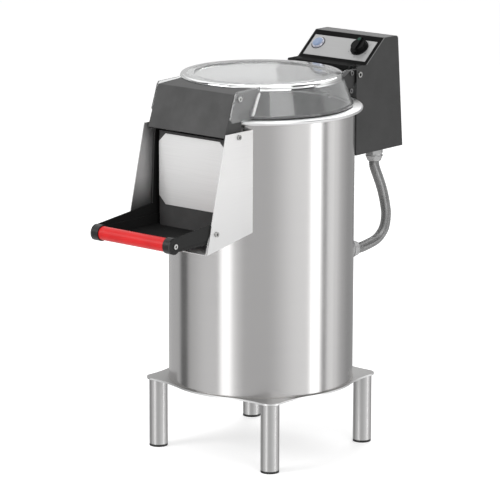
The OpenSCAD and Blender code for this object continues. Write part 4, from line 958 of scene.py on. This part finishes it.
def makeBezelSealShade(s):
    faces, rows = [], len(s["rings"])
    for n in range(rows):
        faces += ringFaces(n * s["sides"], (n + 1) % rows * s["sides"], s["sides"])
    addPiece("bezelSealShade", panelRings(s), faces, s)


markSettings = {
    "finish": "greenInk", "body": "timer_knob", "slot": "white_plastic", "centre": (51, 55.6), "sides": 32,
    "rings": ((4.3, 17.9), (4.3, 18.05), (4.085, 18.15)),
}


def makeKnobMark(s):
    sides = s["sides"]
    faces = ringFaces(0, sides, sides) + ringFaces(sides, 2 * sides, sides)
    faces.append(tuple(range(sides - 1, -1, -1)))
    faces.append(tuple(range(2 * sides, 3 * sides)))
    addPiece("knobMark", panelRings(s), faces, s)


filletSettings = {
    "finish": "clearBead", "body": "lid", "slot": "clear_plastic", "across": 110.2,
    "low": (760.5, 194.1), "high": (807.0, 177.0),  # height, and the dome's radius there
    "radius": 2.8, "ends": 0.6, "steps": 16, "sides": 12,
}


def makeNoseFillet(s, name, side):
    line, radii = [], []
    for n in range(s["steps"] + 1):
        z, r = (low + (high - low) * n / s["steps"] for low, high in zip(s["low"], s["high"]))
        line.append(here(side * s["across"], -math.sqrt(r * r - s["across"] ** 2), z))
        radii.append(s["radius"] * mm * (s["ends"] if n in (0, s["steps"]) else 1.0))
    addPiece(name, *sweep(line, radii, s["sides"]), s)


weldSettings = {
    "finish": "weld", "body": "machine", "slot": "stainless", "ripple": 0.16, "every": 1.6, "sides": 10,
    "foot": {"ring": 200.2, "height": 155.1, "bead": 0.8, "at": [(0, 0)]},
    "legs": {"ring": 20.5, "height": 150.4, "bead": 1.5,
             "at": [(x, y) for x in (-157.97, 157.97) for y in (-157.97, 157.97)]},
    "seam": {"turn": 155, "out": 200.05, "low": 157, "high": 744, "bead": 0.8},
}


def makeRingWelds(s, name, rings):
    points, faces = [], []
    count = round(2 * math.pi * rings["ring"] / (s["every"] / 4))
    radii = [rings["bead"] * mm * (1 - s["ripple"] * (n % 4) / 3) for n in range(count)]
    for x, y in rings["at"]:
        line = [here(x, y, rings["height"]) + Vector((math.cos(t), math.sin(t), 0)) * rings["ring"] * mm
                for t in turns(count)]
        more, loops = sweep(line, radii, s["sides"], True)
        faces += [tuple(v + len(points) for v in loop) for loop in loops]
        points += more
    addPiece(name, points, faces, s)


def makeSeam(s, seam):
    turn, high = math.radians(seam["turn"]), seam["high"] - seam["low"]
    x, y = seam["out"] * math.cos(turn), seam["out"] * math.sin(turn)
    count = round(high / (s["every"] / 2))
    line = [here(x, y, seam["low"] + high * n / count) for n in range(count + 1)]
    radii = [seam["bead"] * mm * (1 - s["ripple"] * (n % 2)) for n in range(count + 1)]
    addPiece("drumSeam", *sweep(line, radii, s["sides"]), s)


makeHose(hoseSettings)
makePanelSkin(skinSettings)
makePanelEdge(edgeSettings, "panelEdgeRight", 1)
makePanelEdge(edgeSettings, "panelEdgeLeft", -1)
makeDialPrint(dialSettings)
makeBezelSealShade(sealSettings)
makeKnobMark(markSettings)
makeNoseFillet(filletSettings, "noseFilletRight", 1)
makeNoseFillet(filletSettings, "noseFilletLeft", -1)
makeRingWelds(weldSettings, "drumFootWeld", weldSettings["foot"])
makeRingWelds(weldSettings, "legWelds", weldSettings["legs"])
makeSeam(weldSettings, weldSettings["seam"])
print("stage 5: pieces made")
